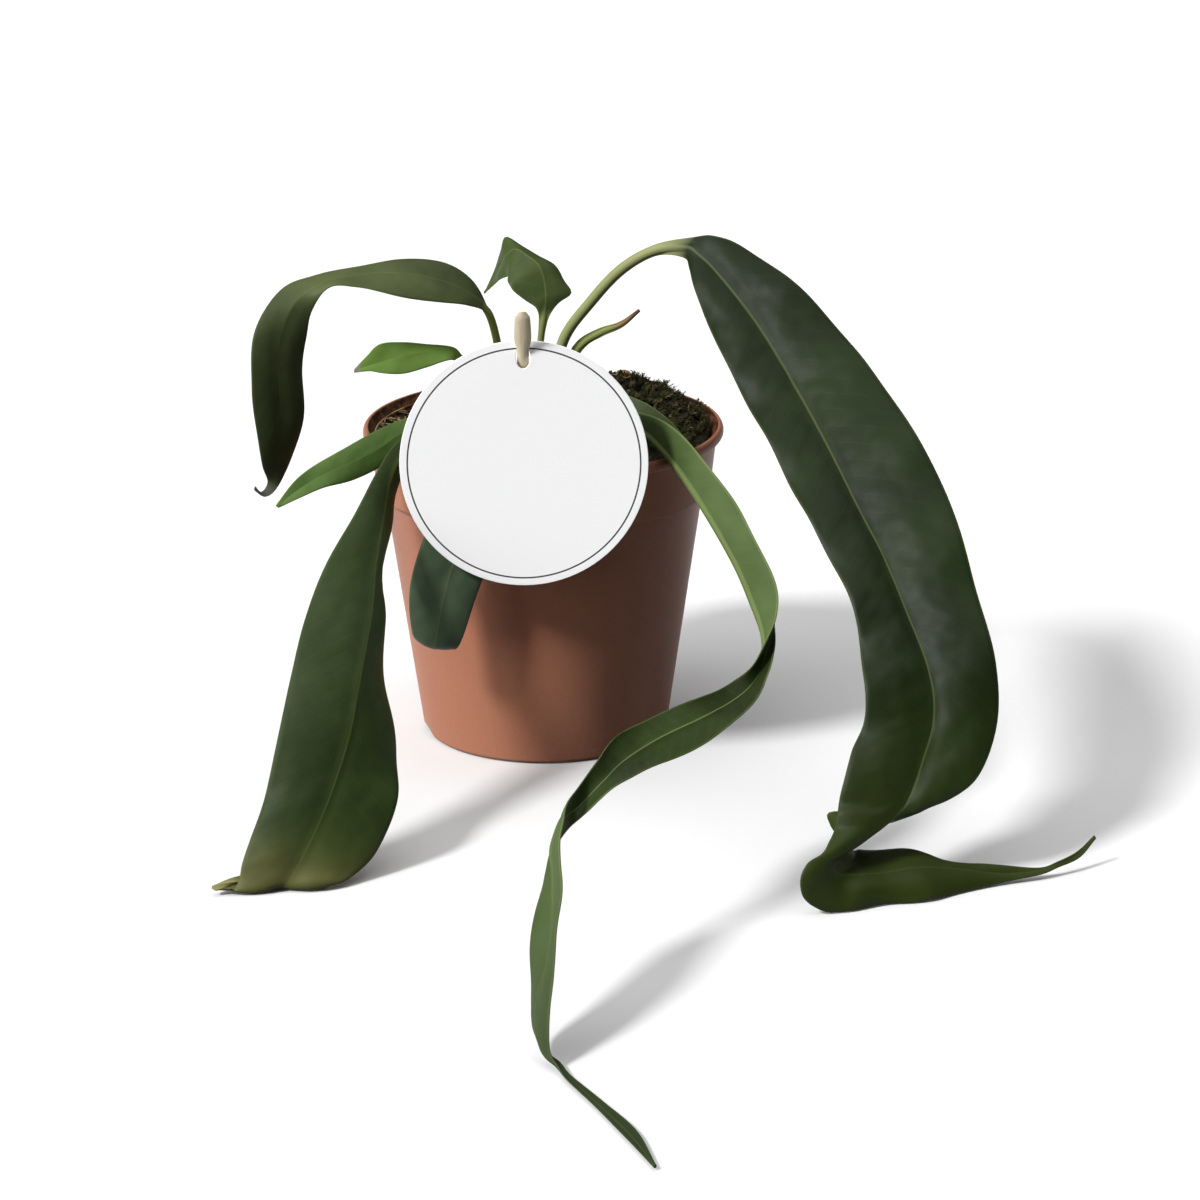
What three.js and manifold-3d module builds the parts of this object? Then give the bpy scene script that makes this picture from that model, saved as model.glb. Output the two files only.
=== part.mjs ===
// A potted strap-leaved aroid: a plastic nursery pot filled with potting mix, a short crown with eight
// long leaves that arch and hang over the rim, a dried sheath, and a round card held on a bamboo stake.
// Sizes are in millimetres, +Z is up, and the origin is the middle of the pot's base, on the surface.
import * as THREE from "three";
import { mergeVertices } from "three/addons/utils/BufferGeometryUtils.js";
import Module from "manifold-3d";

const wasm = await Module();
wasm.setup();

// Driving dimensions of the pot
const rimRadius = 60;
const potHeight = 105.7;
const lipHeight = 3.6;
const lipOverhang = 2.3;
const lipFlare = 4;
const collarFoot = 84.4;
const collarStep = 2.4;
const bodyTopRadius = 53.4;
const footRadius = 41.4;
const wall = 1.4;
const baseRise = 3.4;
const baseThick = 1.8;
const centrePadRadius = 12;
const footRingWidth = 3.2;
const drainHoles = 8;
const drainRadius = 4.5;
const drainCircle = 25;
const notches = 3;
const notchWidth = 17;
const notchHeight = 3;
const notchAngle = 194;
const roundSides = 48;

// Driving dimensions of the filling
const fit = 0.4;
const stalkFit = 0.9;
const soilTop = 97;
const soilBank = 12;
const mossHeight = 14.5;
const mossLift = 0.8;
const crownPlace = [-3, 3];
const crownRadius = 4.2;
const crownTop = 106;
const stalkFoot = 86;

// Driving dimensions of the card and its stake
const cardRadius = 39.4;
const cardThick = 0.8;
const cardCentre = [-6.2, -63.6, 110];
const cardLean = 5.5;
const cardHoleWide = 2.3;
const cardHoleTall = 3.8;
const cardHoleDrop = 5.2;
const stakeWidth = 5.4;
const stakeThick = 1.2;
const stakeNeck = 3.4;
const stakeLean = 24;
const stakeReach = 18;
const stakeFoot = 68;

// Driving dimensions shared by the leaves
const edgeThick = 0.8;
const rowPitch = 7;

const rad = THREE.MathUtils.degToRad;

// A closed solid from a geometry, and a geometry from a solid

function solidOf(geometry) {
  const bare = geometry.clone();
  for (const name of Object.keys(bare.attributes)) {
    if (name !== "position") bare.deleteAttribute(name);
  }
  const merged = mergeVertices(bare, 1e-4);
  return new wasm.Manifold(
    new wasm.Mesh({
      numProp: 3,
      vertProperties: new Float32Array(merged.attributes.position.array),
      triVerts: new Uint32Array(merged.index.array),
    }),
  );
}

function geometryOf(solid) {
  const { vertProperties, triVerts } = solid.getMesh();
  const geometry = new THREE.BufferGeometry();
  geometry.setAttribute("position", new THREE.BufferAttribute(vertProperties, 3));
  geometry.setIndex(new THREE.BufferAttribute(triVerts, 1));
  return geometry;
}

// A body of revolution about Z from [radius, height] pairs that start and end on the axis
function turned(profile, sides) {
  const points = profile.map(([radius, height]) => new THREE.Vector2(radius, height));
  return new THREE.LatheGeometry(points, sides).rotateX(Math.PI / 2);
}

// A straight round bar from one point to another
function bar(from, to, radius, sides) {
  const start = new THREE.Vector3(...from);
  const end = new THREE.Vector3(...to);
  const run = end.clone().sub(start);
  const geometry = new THREE.CylinderGeometry(radius, radius, run.length(), sides);
  const turn = new THREE.Quaternion().setFromUnitVectors(new THREE.Vector3(0, 1, 0), run.normalize());
  return geometry.applyQuaternion(turn).translate(...start.add(end).divideScalar(2).toArray());
}

// Leaves. Each station of a leaf gives a point on its rib, the left and right margins as offsets from
// that point, as seen on the upper face with the tip down, and how thick the rib or stalk is there.

const bigRight = [
  { rib: [5, 4, stalkFoot], left: [1.7, 0, 0], right: [-1.7, 0, 0], thick: 3.6 },
  { rib: [5, 4, 99], left: [1.7, 0, 0], right: [-1.7, 0, 0], thick: 3.6 },
  { rib: [4, 2, 117], left: [1.6, 0, 0], right: [-1.6, 0, 0], thick: 3.4 },
  { rib: [7, 0, 134], left: [1.5, 0, -0.6], right: [-1.5, 0, 0.6], thick: 3.3 },
  { rib: [16, -3, 147.5], left: [1.2, 0, -1.1], right: [-1.2, 0, 1.1], thick: 3.2 },
  { rib: [26, -6, 159], left: [0.9, 0, -1.4], right: [-0.9, 0, 1.4], thick: 3.2 },
  { rib: [37, -9, 166], left: [0.3, 0, -1.7], right: [-0.3, 0, 1.7], thick: 3.2 },
  { rib: [47, -14, 168], left: [-1, -1, -3], right: [2, 1, 3], thick: 3.2 },
  { rib: [50.8, -17.6, 166.2], left: [-3, -2.2, -4], right: [5.2, 1.6, 5.8], thick: 3.2 },
  { rib: [57, -24, 161], left: [-7.3, -4, -5.2], right: [9, 3, 8], thick: 3.2 },
  { rib: [69, -40, 148], left: [-12.2, -5, -7], right: [16, 4, 9], thick: 3 },
  { rib: [80, -57, 132], left: [-14, -6, -6], right: [20, 4, 10], thick: 3 },
  { rib: [89, -76, 118], left: [-14, -7, -6], right: [22, 3, 12], thick: 3 },
  { rib: [97, -94, 104], left: [-14, -7, -5], right: [24, 3, 11], thick: 2.8 },
  { rib: [104, -108, 92], left: [-14, -7, -3], right: [23, 2, 9], thick: 2.8 },
  { rib: [110, -121, 79], left: [-15, -6, -4], right: [21, 1, 7], thick: 2.6 },
  { rib: [116, -134, 64], left: [-20, -4, -1], right: [20, 0, 3], thick: 2.6 },
  { rib: [117, -142, 52], left: [-21, -2, 0], right: [19, -1, -2], thick: 2.4 },
  { rib: [113, -149, 40], left: [-21, 0, 4], right: [16, -1, -5], thick: 2.4 },
  { rib: [108.6, -154, 30], left: [-20, 0, 4], right: [8.5, 0, -2], thick: 2.2 },
  { rib: [105.7, -156, 27], left: [-18, 0, 3], right: [4.6, 6, -3.4], thick: 2 },
  { rib: [102.6, -158, 24.7], left: [-15.4, -1, 2.8], right: [-3.5, 9, -2.5], thick: 2 },
  { rib: [98.3, -160, 22], left: [-11.8, -1, 2.1], right: [-12.5, 9, 3.5], thick: 1.8 },
  { rib: [93.7, -162, 19.3], left: [-9, -2, 2], right: [-9, 10, 2], thick: 1.8 },
  { rib: [89.6, -164, 17.3], left: [-7.4, -3, 1.3], right: [-1.5, 11, -0.5], thick: 1.6 },
  { rib: [86.6, -165, 15], left: [-9, -3, 1.3], right: [5.4, 11, -1.3], thick: 1.6 },
  { rib: [85.4, -166, 13.3], left: [-10.4, -4, -1.8], right: [8, 13, 0.4], thick: 1.6 },
  { rib: [87, -165, 11], left: [-10.4, -5, -6], right: [8, 14, 2.3], thick: 1.6 },
  { rib: [90.4, -163, 9.7], left: [-6.6, -6, -9.4], right: [6.8, 14, 3], thick: 1.6 },
  { rib: [95, -161, 9], left: [-2.5, -7, -8.7], right: [6.3, 14, 2.6], thick: 1.6 },
  { rib: [101.7, -158, 8.2], left: [0.5, -6, -8], right: [5.7, 13, 1.8], thick: 1.6 },
  { rib: [112, -155, 8.5], left: [1.7, -6, -8], right: [4.5, 9, 0], thick: 1.6 },
  { rib: [123, -151, 6.4], left: [0.2, -5, -6], right: [2.7, 5, 0.2], thick: 1.4 },
  { rib: [138, -147, 3], left: [0, -2, -2], right: [0.8, 2, 1.8], thick: 1.2 },
  { rib: [150.5, -144, 2.5], left: [0, -1, -0.7], right: [0, 1, 0.6], thick: 1.1 },
  { rib: [156.2, -142, 3.6], left: [0, -0.5, -0.5], right: [0, 0.5, 0.8], thick: 1 },
  { rib: [163, -138, 5.2], left: [0.3, -0.5, -0.5], right: [-0.3, 0.5, 0.8], thick: 1 },
  { rib: [168.5, -134, 9.5], left: [0.2, -0.2, -0.3], right: [-0.2, 0.2, 0.3], thick: 0.9 },
];

const ribbon = [
  { rib: [1, -4, stalkFoot], left: [-1, -1, 0], right: [1, 1, 0], thick: 3.6 },
  { rib: [1, -4, 98], left: [-1, -1, 0], right: [1, 1, 0], thick: 3.6 },
  { rib: [4, -8, 108], left: [-1, -1, 0.3], right: [1, 1, 0], thick: 3.4 },
  { rib: [14, -19, 114], left: [-1, -2, 2], right: [1, 2, 2], thick: 3.2 },
  { rib: [27, -33, 115], left: [0, -4, 5], right: [0, 6, 7], thick: 2.8 },
  { rib: [37, -47, 111], left: [3, -5, 8], right: [5, 9, 4], thick: 2.6 },
  { rib: [48, -66, 100], left: [6, -5, 8], right: [6, 9, 2], thick: 2.4 },
  { rib: [59, -86, 85], left: [5.6, -4, 9.7], right: [5.8, 9, 3.4], thick: 2.2 },
  { rib: [64.8, -101, 74.3], left: [6, -4, 9], right: [6.4, 8, 2.5], thick: 2.2 },
  { rib: [67.4, -111, 67.6], left: [3.4, -4, 7.8], right: [3.7, 6, 1.2], thick: 2 },
  { rib: [66.6, -120, 63], left: [0.4, -2, 6], right: [3.8, 3, 3], thick: 2 },
  { rib: [63, -130, 59.3], left: [-0.8, 2, 4], right: [4.5, -1, 3.2], thick: 2 },
  { rib: [57, -141, 58], left: [-1.6, 7, 2.4], right: [4.8, -8, 1.6], thick: 2 },
  { rib: [47, -156, 58], left: [-1.4, 9, 2.6], right: [3.4, -10, -2.2], thick: 2 },
  { rib: [33.4, -171, 57], left: [-2, 10, 3], right: [3.5, -11, -2.3], thick: 2 },
  { rib: [22.5, -187, 56], left: [-2.2, 9, 4], right: [3.6, -8.6, -0.6], thick: 2 },
  { rib: [16.2, -199, 54.3], left: [-1.6, 5, 4.4], right: [3, -5, 0.3], thick: 1.8 },
  { rib: [9.5, -207, 50.4], left: [-0.4, 1, 5], right: [2, -3, -1], thick: 1.8 },
  { rib: [4.9, -214, 49.3], left: [0.6, -3, 5.2], right: [1.6, 1.5, -3.4], thick: 1.8 },
  { rib: [2.5, -221, 46.6], left: [2, -4.5, 5.8], right: [0.2, 4.3, -4.8], thick: 1.8 },
  { rib: [1.4, -226, 43.5], left: [2.4, -5.2, 6.5], right: [-1, 5.2, -6.2], thick: 1.8 },
  { rib: [2, -232, 39.6], left: [1.8, -5.8, 6.7], right: [-3.5, 5.6, -6.1], thick: 1.6 },
  { rib: [2, -240, 34.3], left: [1.8, -5.8, 6.7], right: [-5.5, 5, -5.1], thick: 1.6 },
  { rib: [1.7, -248.5, 27.4], left: [0.8, -6, 7], right: [-6.4, 4.6, -4.4], thick: 1.6 },
  { rib: [-0.3, -255.5, 20.9], left: [2.4, -5.6, 6.4], right: [-4.4, 5.2, -5.3], thick: 1.6 },
  { rib: [-2.2, -260, 16.4], left: [3.6, -5.2, 5.9], right: [-2.7, 5.6, -5.8], thick: 1.4 },
  { rib: [-3.2, -264.5, 11.5], left: [3.4, -5, 5], right: [-1.3, 5.6, -5.1], thick: 1.4 },
  { rib: [-2.8, -268.5, 7.1], left: [2.6, -4.6, 3.5], right: [-0.2, 5.2, -3.2], thick: 1.4 },
  { rib: [-1.1, -272, 3.3], left: [1.4, -3.2, 1.8], right: [0.2, 4, -1.2], thick: 1.3 },
  { rib: [2.4, -276.4, 1.7], left: [0.2, -1.8, 0.6], right: [0.6, 2.4, 0], thick: 1.2 },
  { rib: [5.2, -283, 1.2], left: [-0.4, -1.2, 0.3], right: [0.8, 1.4, 0], thick: 1.1 },
  { rib: [13, -299, 1], left: [-0.8, -0.8, 0], right: [1.2, 1.6, 0.3], thick: 1.1 },
  { rib: [21, -317, 1], left: [-1.2, -1, 0], right: [1.7, 1.7, 0.4], thick: 1 },
  { rib: [27, -335, 1], left: [-0.3, -0.2, 0], right: [0.3, 0.2, 0], thick: 0.9 },
];

const hangingLeft = [
  { rib: [-7, -3, stalkFoot], left: [-1, 1, 0], right: [1, -1, 0], thick: 3.6 },
  { rib: [-7, -3, 98], left: [-1, 1, 0], right: [1, -1, 0], thick: 3.6 },
  { rib: [-12, -8, 107], left: [-1, 1, 0], right: [1, -1, 0], thick: 3.4 },
  { rib: [-24, -22, 111], left: [-1, 1, 0.5], right: [1, -1, 0], thick: 3.2 },
  { rib: [-36, -35, 111], left: [-2, 2, 1], right: [2, -2, 0], thick: 3 },
  { rib: [-45, -45, 108], left: [-2, 3, 3], right: [2, -1, -2], thick: 2.8 },
  { rib: [-49, -55, 102], left: [-4, 1, 3], right: [2, 4, -4], thick: 2.8 },
  { rib: [-51, -69, 93], left: [-8, -2, 4], right: [2, 9, -4], thick: 2.6 },
  { rib: [-53, -85, 82], left: [-15, -3, 3], right: [1, 13, -4], thick: 2.6 },
  { rib: [-54, -98, 71], left: [-20, -3, 1], right: [3, 15, -5], thick: 2.4 },
  { rib: [-57, -113, 57], left: [-21, -3, 1], right: [7, 15, -9], thick: 2.4 },
  { rib: [-60.6, -126, 41], left: [-21, -2, 2], right: [14, 13, -9], thick: 2.2 },
  { rib: [-66.2, -137, 26], left: [-19.4, -1, 0.6], right: [20.3, 10, -4], thick: 2 },
  { rib: [-72, -143, 14], left: [-18, 0, 0.8], right: [20, 6, -5.3], thick: 1.8 },
  { rib: [-76.3, -146, 6.8], left: [-16, -1, 2], right: [18, 3, -3], thick: 1.6 },
  { rib: [-78.8, -148, 3], left: [-14.4, -1, 1.6], right: [14.4, 1, -1.4], thick: 1.4 },
  { rib: [-82, -147.5, 1.6], left: [-13, -3.5, 0], right: [14, 3, -0.4], thick: 1.2 },
  { rib: [-86.7, -146, 1.8], left: [-10.4, -4.6, 0], right: [9.7, 7, 0], thick: 1.1 },
  { rib: [-92, -146, 2.2], left: [-7, -4.6, -0.3], right: [4.7, 7, 0.4], thick: 1 },
  { rib: [-96.5, -148, 2.6], left: [-3.8, -3.2, -0.6], right: [1.6, 3.8, 0.6], thick: 1 },
  { rib: [-101.6, -150, 2.4], left: [-0.1, -0.6, 0], right: [0.1, 0.6, 0], thick: 0.9 },
];

const archLeft = [
  { rib: [-10, 7, stalkFoot], left: [0.5, 1.2, 0], right: [-0.5, -1.2, 0], thick: 2.8 },
  { rib: [-10, 7, 99], left: [0.5, 1.2, 0], right: [-0.5, -1.2, 0], thick: 2.8 },
  { rib: [-13, 4, 117], left: [0.3, 1.3, 0], right: [-0.3, -1.3, 0], thick: 2.7 },
  { rib: [-15, 1, 133], left: [0, 1.3, 0], right: [0, -1.3, 0], thick: 2.6 },
  { rib: [-18, -1, 144], left: [0, 1.3, 0.5], right: [0, -1.3, -0.5], thick: 2.6 },
  { rib: [-24, -4, 151], left: [1, 5, 3], right: [0, -5, -3], thick: 2.4 },
  { rib: [-33, -8, 156], left: [1, 8, 4], right: [0, -8, -5], thick: 2.2 },
  { rib: [-46, -14, 160], left: [0, 8, 3], right: [0, -10, -5], thick: 2.2 },
  { rib: [-59, -20, 161], left: [-1, 7, 1], right: [0, -8, -2], thick: 2 },
  { rib: [-70, -26, 160], left: [-3, 6, 1], right: [2, -5, 0], thick: 2 },
  { rib: [-79, -31, 155], left: [-5, 4, 3], right: [5, 1, -3], thick: 2 },
  { rib: [-84, -36, 145], left: [-8, -2, 1.4], right: [8, 5, -1.6], thick: 1.8 },
  { rib: [-85, -40, 132], left: [-7.6, -6, -1.2], right: [7.6, 7, 1], thick: 1.8 },
  { rib: [-84, -43, 118], left: [-7.2, -6, -1.4], right: [6.6, 7, 0.4], thick: 1.6 },
  { rib: [-85, -45, 107], left: [-5, -4, -0.8], right: [4, 5, -0.6], thick: 1.4 },
  { rib: [-87, -47, 99], left: [-1.5, 0, 0.8], right: [1.5, 0.2, -0.8], thick: 1.2 },
  { rib: [-90, -48.5, 96], left: [-0.5, 0, 0.7], right: [0.5, 0, -0.7], thick: 1 },
  { rib: [-92.6, -50, 98.6], left: [0.2, 0, 0.5], right: [-0.2, 0, -0.5], thick: 0.9 },
];

const smallLeft = [
  { rib: [-12, 1, stalkFoot], left: [-1, 1, 0], right: [1, -1, 0], thick: 2.8 },
  { rib: [-12, 1, 98], left: [-1, 1, 0], right: [1, -1, 0], thick: 2.8 },
  { rib: [-17, -4, 109], left: [-1, 1, 0], right: [1, -1, 0], thick: 2.6 },
  { rib: [-30, -18, 114], left: [-1, 2, 1], right: [1, -2, -1], thick: 2.4 },
  { rib: [-45.2, -32, 111.8], left: [-0.1, 5, 2.9], right: [-0.7, -3.5, -4.4], thick: 2 },
  { rib: [-52.6, -41, 109.2], left: [-1, 5, 4.2], right: [1, -2.2, -5.2], thick: 1.8 },
  { rib: [-61.8, -51, 107], left: [-1.3, 4, 4], right: [1, -3, -4.6], thick: 1.6 },
  { rib: [-70.9, -61, 105.4], left: [-1.4, 3, 3.1], right: [1.3, -3, -2.6], thick: 1.4 },
  { rib: [-78, -68, 102.8], left: [-0.6, 1.5, 2.8], right: [1.2, -1.5, -1.5], thick: 1.2 },
  { rib: [-84, -72, 99], left: [-0.3, 0, 0.3], right: [0.3, 0, -0.3], thick: 0.9 },
];

const upperLeft = [
  { rib: [-2, -8, stalkFoot], left: [0.4, 1, 0], right: [-0.4, -1, 0], thick: 2.4 },
  { rib: [-2, -8, 98], left: [0.4, 1, 0], right: [-0.4, -1, 0], thick: 2.4 },
  { rib: [-6, -8, 114], left: [0.4, 1, 0], right: [-0.4, -1, 0], thick: 2.4 },
  { rib: [-15, -7, 124], left: [0.6, 1, -0.3], right: [-0.6, -1, 0.3], thick: 2.2 },
  { rib: [-25.9, -6.4, 128.6], left: [0.5, 1.2, 0.6], right: [-0.5, -1.2, -0.6], thick: 2 },
  { rib: [-29.8, -8.6, 132], left: [0.2, 3.4, 1], right: [-0.4, -3.2, -1.4], thick: 1.8 },
  { rib: [-38, -13, 133.4], left: [-1, 4, 1.8], right: [0, -4, -4], thick: 1.6 },
  { rib: [-45, -18, 133.6], left: [-1, 4, 3.3], right: [0, -4, -4.8], thick: 1.5 },
  { rib: [-52, -22, 132.6], left: [-1, 3, 5], right: [1, -3, -2.8], thick: 1.3 },
  { rib: [-57, -25, 131.8], left: [0, 2, 3], right: [1, -1, -1], thick: 1.1 },
  { rib: [-61, -27, 131], left: [0, 0.2, 0.4], right: [0, -0.2, -0.4], thick: 0.9 },
];

const smallBack = [
  { rib: [-3, 12, stalkFoot], left: [1.1, 0, 0], right: [-1.1, 0, 0], thick: 2.2 },
  { rib: [-3, 12, 99], left: [1.1, 0, 0], right: [-1.1, 0, 0], thick: 2.2 },
  { rib: [-2, 7, 118], left: [1.1, 0, 0], right: [-1.1, 0, 0], thick: 2.2 },
  { rib: [0, 2, 138], left: [1.1, 0, 0], right: [-1.1, 0, 0], thick: 2.1 },
  { rib: [1, 3, 146], left: [3.6, 1, -1.3], right: [-2.7, -1, -2], thick: 2 },
  { rib: [1, 5, 149.6], left: [8.6, 2, -1.6], right: [-6, -2, -3.2], thick: 1.8 },
  { rib: [0.3, 7, 153.6], left: [7, 3, -2], right: [-9.3, -3, -4.3], thick: 1.6 },
  { rib: [-1.3, 9, 157.2], left: [5.6, 4, -1.3], right: [-9.3, -4, -5.7], thick: 1.6 },
  { rib: [-5, 12, 159.5], left: [4, 4, -1.3], right: [-6.3, -5, -7], thick: 1.5 },
  { rib: [-8.5, 15, 161], left: [1.6, 5, 0], right: [-2.7, -6, -7.7], thick: 1.4 },
  { rib: [-11.6, 18, 158.5], left: [-0.3, 6, 4.8], right: [0, -6, -5.7], thick: 1.3 },
  { rib: [-13.3, 20, 154.7], left: [-0.3, 5, 4], right: [-0.7, -5, -3.6], thick: 1.2 },
  { rib: [-15.7, 22, 150], left: [0, 3, 2], right: [-0.3, -2, -1.9], thick: 1.1 },
  { rib: [-19.2, 24, 144.5], left: [0.3, 0.3, 0.3], right: [-0.2, -0.3, -0.3], thick: 0.9 },
];

const front = [
  { rib: [-9, -8, stalkFoot], left: [-1, 0, 0], right: [1, 0, 0], thick: 2.8 },
  { rib: [-9, -8, 98], left: [-1, 0, 0], right: [1, 0, 0], thick: 2.8 },
  { rib: [-10, -14, 108], left: [-1.2, 0, 0], right: [1.2, 0, 0], thick: 2.8 },
  { rib: [-14, -30, 114], left: [-3, 0, 0.5], right: [3, 0, 0.5], thick: 2.4 },
  { rib: [-17, -46, 113], left: [-5, 0, 1], right: [5, 0, 1], thick: 2 },
  { rib: [-20, -57.5, 108], left: [-7, 0, 2], right: [6, 0, 0], thick: 1.6 },
  { rib: [-23, -61, 96], left: [-9, 1, 4], right: [8, 0, -3], thick: 1.6 },
  { rib: [-28, -62, 80], left: [-11, 2, 3], right: [10, 0, -3], thick: 1.6 },
  { rib: [-32, -63, 67], left: [-11, 3, 1], right: [10, 0, -1], thick: 1.5 },
  { rib: [-35, -63, 52], left: [-8, 3, 2], right: [8, 0, -1], thick: 1.4 },
  { rib: [-36, -59.5, 47], left: [-5, 2, 2], right: [6, 0, 0], thick: 1.2 },
  { rib: [-36, -56, 50], left: [-0.6, 0, 0], right: [0.6, 0, 0], thick: 1 },
];

// A vector that follows the stations as a uniform Catmull-Rom curve, at a station number with a fraction
function along(stations, field, place) {
  const last = stations.length - 1;
  const span = Math.min(Math.floor(place), last - 1);
  const at = (index) => new THREE.Vector3(...stations[index][field]);
  const from = at(span);
  const to = at(span + 1);
  const before = span > 0 ? at(span - 1) : from.clone().multiplyScalar(2).sub(to);
  const after = span + 2 <= last ? at(span + 2) : to.clone().multiplyScalar(2).sub(from);
  const t = place - span;
  const point = new THREE.Vector3();
  point.addScaledVector(before, 0.5 * (-t + 2 * t ** 2 - t ** 3));
  point.addScaledVector(from, 0.5 * (2 - 5 * t ** 2 + 3 * t ** 3));
  point.addScaledVector(to, 0.5 * (t + 4 * t ** 2 - 3 * t ** 3));
  point.addScaledVector(after, 0.5 * (t ** 3 - t ** 2));
  return point;
}

function thickness(stations, place) {
  const span = Math.min(Math.floor(place), stations.length - 2);
  return THREE.MathUtils.lerp(stations[span].thick, stations[span + 1].thick, place - span);
}

// Station numbers spaced evenly along whichever of the rib and the two margins moves the most
function rowPlaces(stations) {
  const fine = 12;
  const places = [0];
  const lengths = [0];
  const corners = (place) => {
    const rib = along(stations, "rib", place);
    const left = along(stations, "left", place).add(rib);
    const right = along(stations, "right", place).add(rib);
    return [rib, left, right];
  };
  let before = corners(0);
  for (let i = 1; i <= (stations.length - 1) * fine; i += 1) {
    const now = corners(i / fine);
    places.push(i / fine);
    lengths.push(lengths.at(-1) + Math.max(...now.map((corner, k) => corner.distanceTo(before[k]))));
    before = now;
  }
  const rows = Math.round(lengths.at(-1) / rowPitch);
  return Array.from({ length: rows + 1 }, (_, row) => {
    const wanted = (lengths.at(-1) * row) / rows;
    const index = Math.max(1, lengths.findIndex((length) => length >= wanted - 1e-6));
    const share = (wanted - lengths[index - 1]) / (lengths[index] - lengths[index - 1]);
    return THREE.MathUtils.lerp(places[index - 1], places[index], share);
  });
}

// One closed leaf, stalk and blade together. The stalk is round. Past it the rib stands out below the
// thin blade, the halves of the blade bulge a little, and the margins ripple.
function leafGeometry(stations, { bulge = 0, ripple = 0, rippleLength = 34, rippleStart = 0 }) {
  const rows = rowPlaces(stations).map((place) => {
    const rib = along(stations, "rib", place);
    const radius = thickness(stations, place) / 2;
    const halves = { left: along(stations, "left", place), right: along(stations, "right", place) };
    const width = (halves.left.length() + halves.right.length()) / 2;
    const narrow = Math.min(halves.left.length(), halves.right.length());
    const ribShare = THREE.MathUtils.clamp(Math.max(radius, 1.2) / narrow, 0.12, 0.5);
    const shares = [1, (1 + ribShare) / 2, ribShare];
    const line = [];
    for (const share of shares) line.push({ side: "left", share });
    line.push({ side: "left", share: 0 });
    for (const share of shares.toReversed()) line.push({ side: "right", share });
    return { rib, radius, halves, width, line };
  });
  const middles = rows.map(({ rib, halves, line }) =>
    line.map(({ side, share }) => rib.clone().addScaledVector(halves[side], share)),
  );
  const last = rows.length - 1;
  const columns = middles[0].length;
  const upward = middles.map((line, row) =>
    line.map((_, column) => {
      const down = middles[Math.min(row + 1, last)][column].clone();
      down.sub(middles[Math.max(row - 1, 0)][column]);
      const across = line[Math.min(column + 1, columns - 1)].clone();
      across.sub(line[Math.max(column - 1, 0)]);
      return down.cross(across).normalize();
    }),
  );
  const upper = [];
  const lower = [];
  let run = 0;
  rows.forEach(({ rib, radius, halves, width, line }, row) => {
    if (row > 0) run += rib.distanceTo(rows[row - 1].rib);
    const bladed = THREE.MathUtils.clamp((width - 2 * radius) / 10, 0, 1);
    upper.push([]);
    lower.push([]);
    line.forEach(({ side, share }, column) => {
      const reach = share * halves[side].length();
      const round = Math.sqrt(Math.max(0, radius ** 2 - reach ** 2));
      const phase = (2 * Math.PI * (run - rippleStart)) / rippleLength + (side === "left" ? 0 : 2);
      const swell = bladed * (4 * bulge * share * (1 - share) + ripple * share ** 2 * Math.sin(phase));
      const normal = upward[row][column];
      const middle = middles[row][column].clone().addScaledVector(normal, swell);
      const above = Math.max(edgeThick / 2, round * Math.min(1, radius / width));
      const below = Math.max(edgeThick / 2, round);
      middle.z = Math.max(middle.z, below + 0.05);
      upper[row].push(middle.clone().addScaledVector(normal, above).toArray());
      lower[row].push(middle.clone().addScaledVector(normal, -below).toArray());
    });
  });
  return slabGeometry(upper, lower);
}

const leaves = {
  leaf_big_right: { stations: bigRight, bulge: 1.6, ripple: 1.2, colour: 0x2b3f24 },
  leaf_ribbon: { stations: ribbon, bulge: -0.8, ripple: 0.4, colour: 0x46683a },
  leaf_hanging_left: { stations: hangingLeft, bulge: 1.4, ripple: 0.6, colour: 0x2f4a25 },
  leaf_arch_left: { stations: archLeft, bulge: 0.8, ripple: 0.3, colour: 0x33482a },
  leaf_small_left: { stations: smallLeft, bulge: 0.6, ripple: 0.5, colour: 0x4f7a36 },
  leaf_upper_left: { stations: upperLeft, bulge: 0.6, ripple: 0.6, colour: 0x4f7a36 },
  leaf_small_back: { stations: smallBack, bulge: 0.8, ripple: 0.3, colour: 0x3c5a2e },
  leaf_front: { stations: front, bulge: 0.8, ripple: 0.3, colour: 0x26382a },
};

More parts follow.
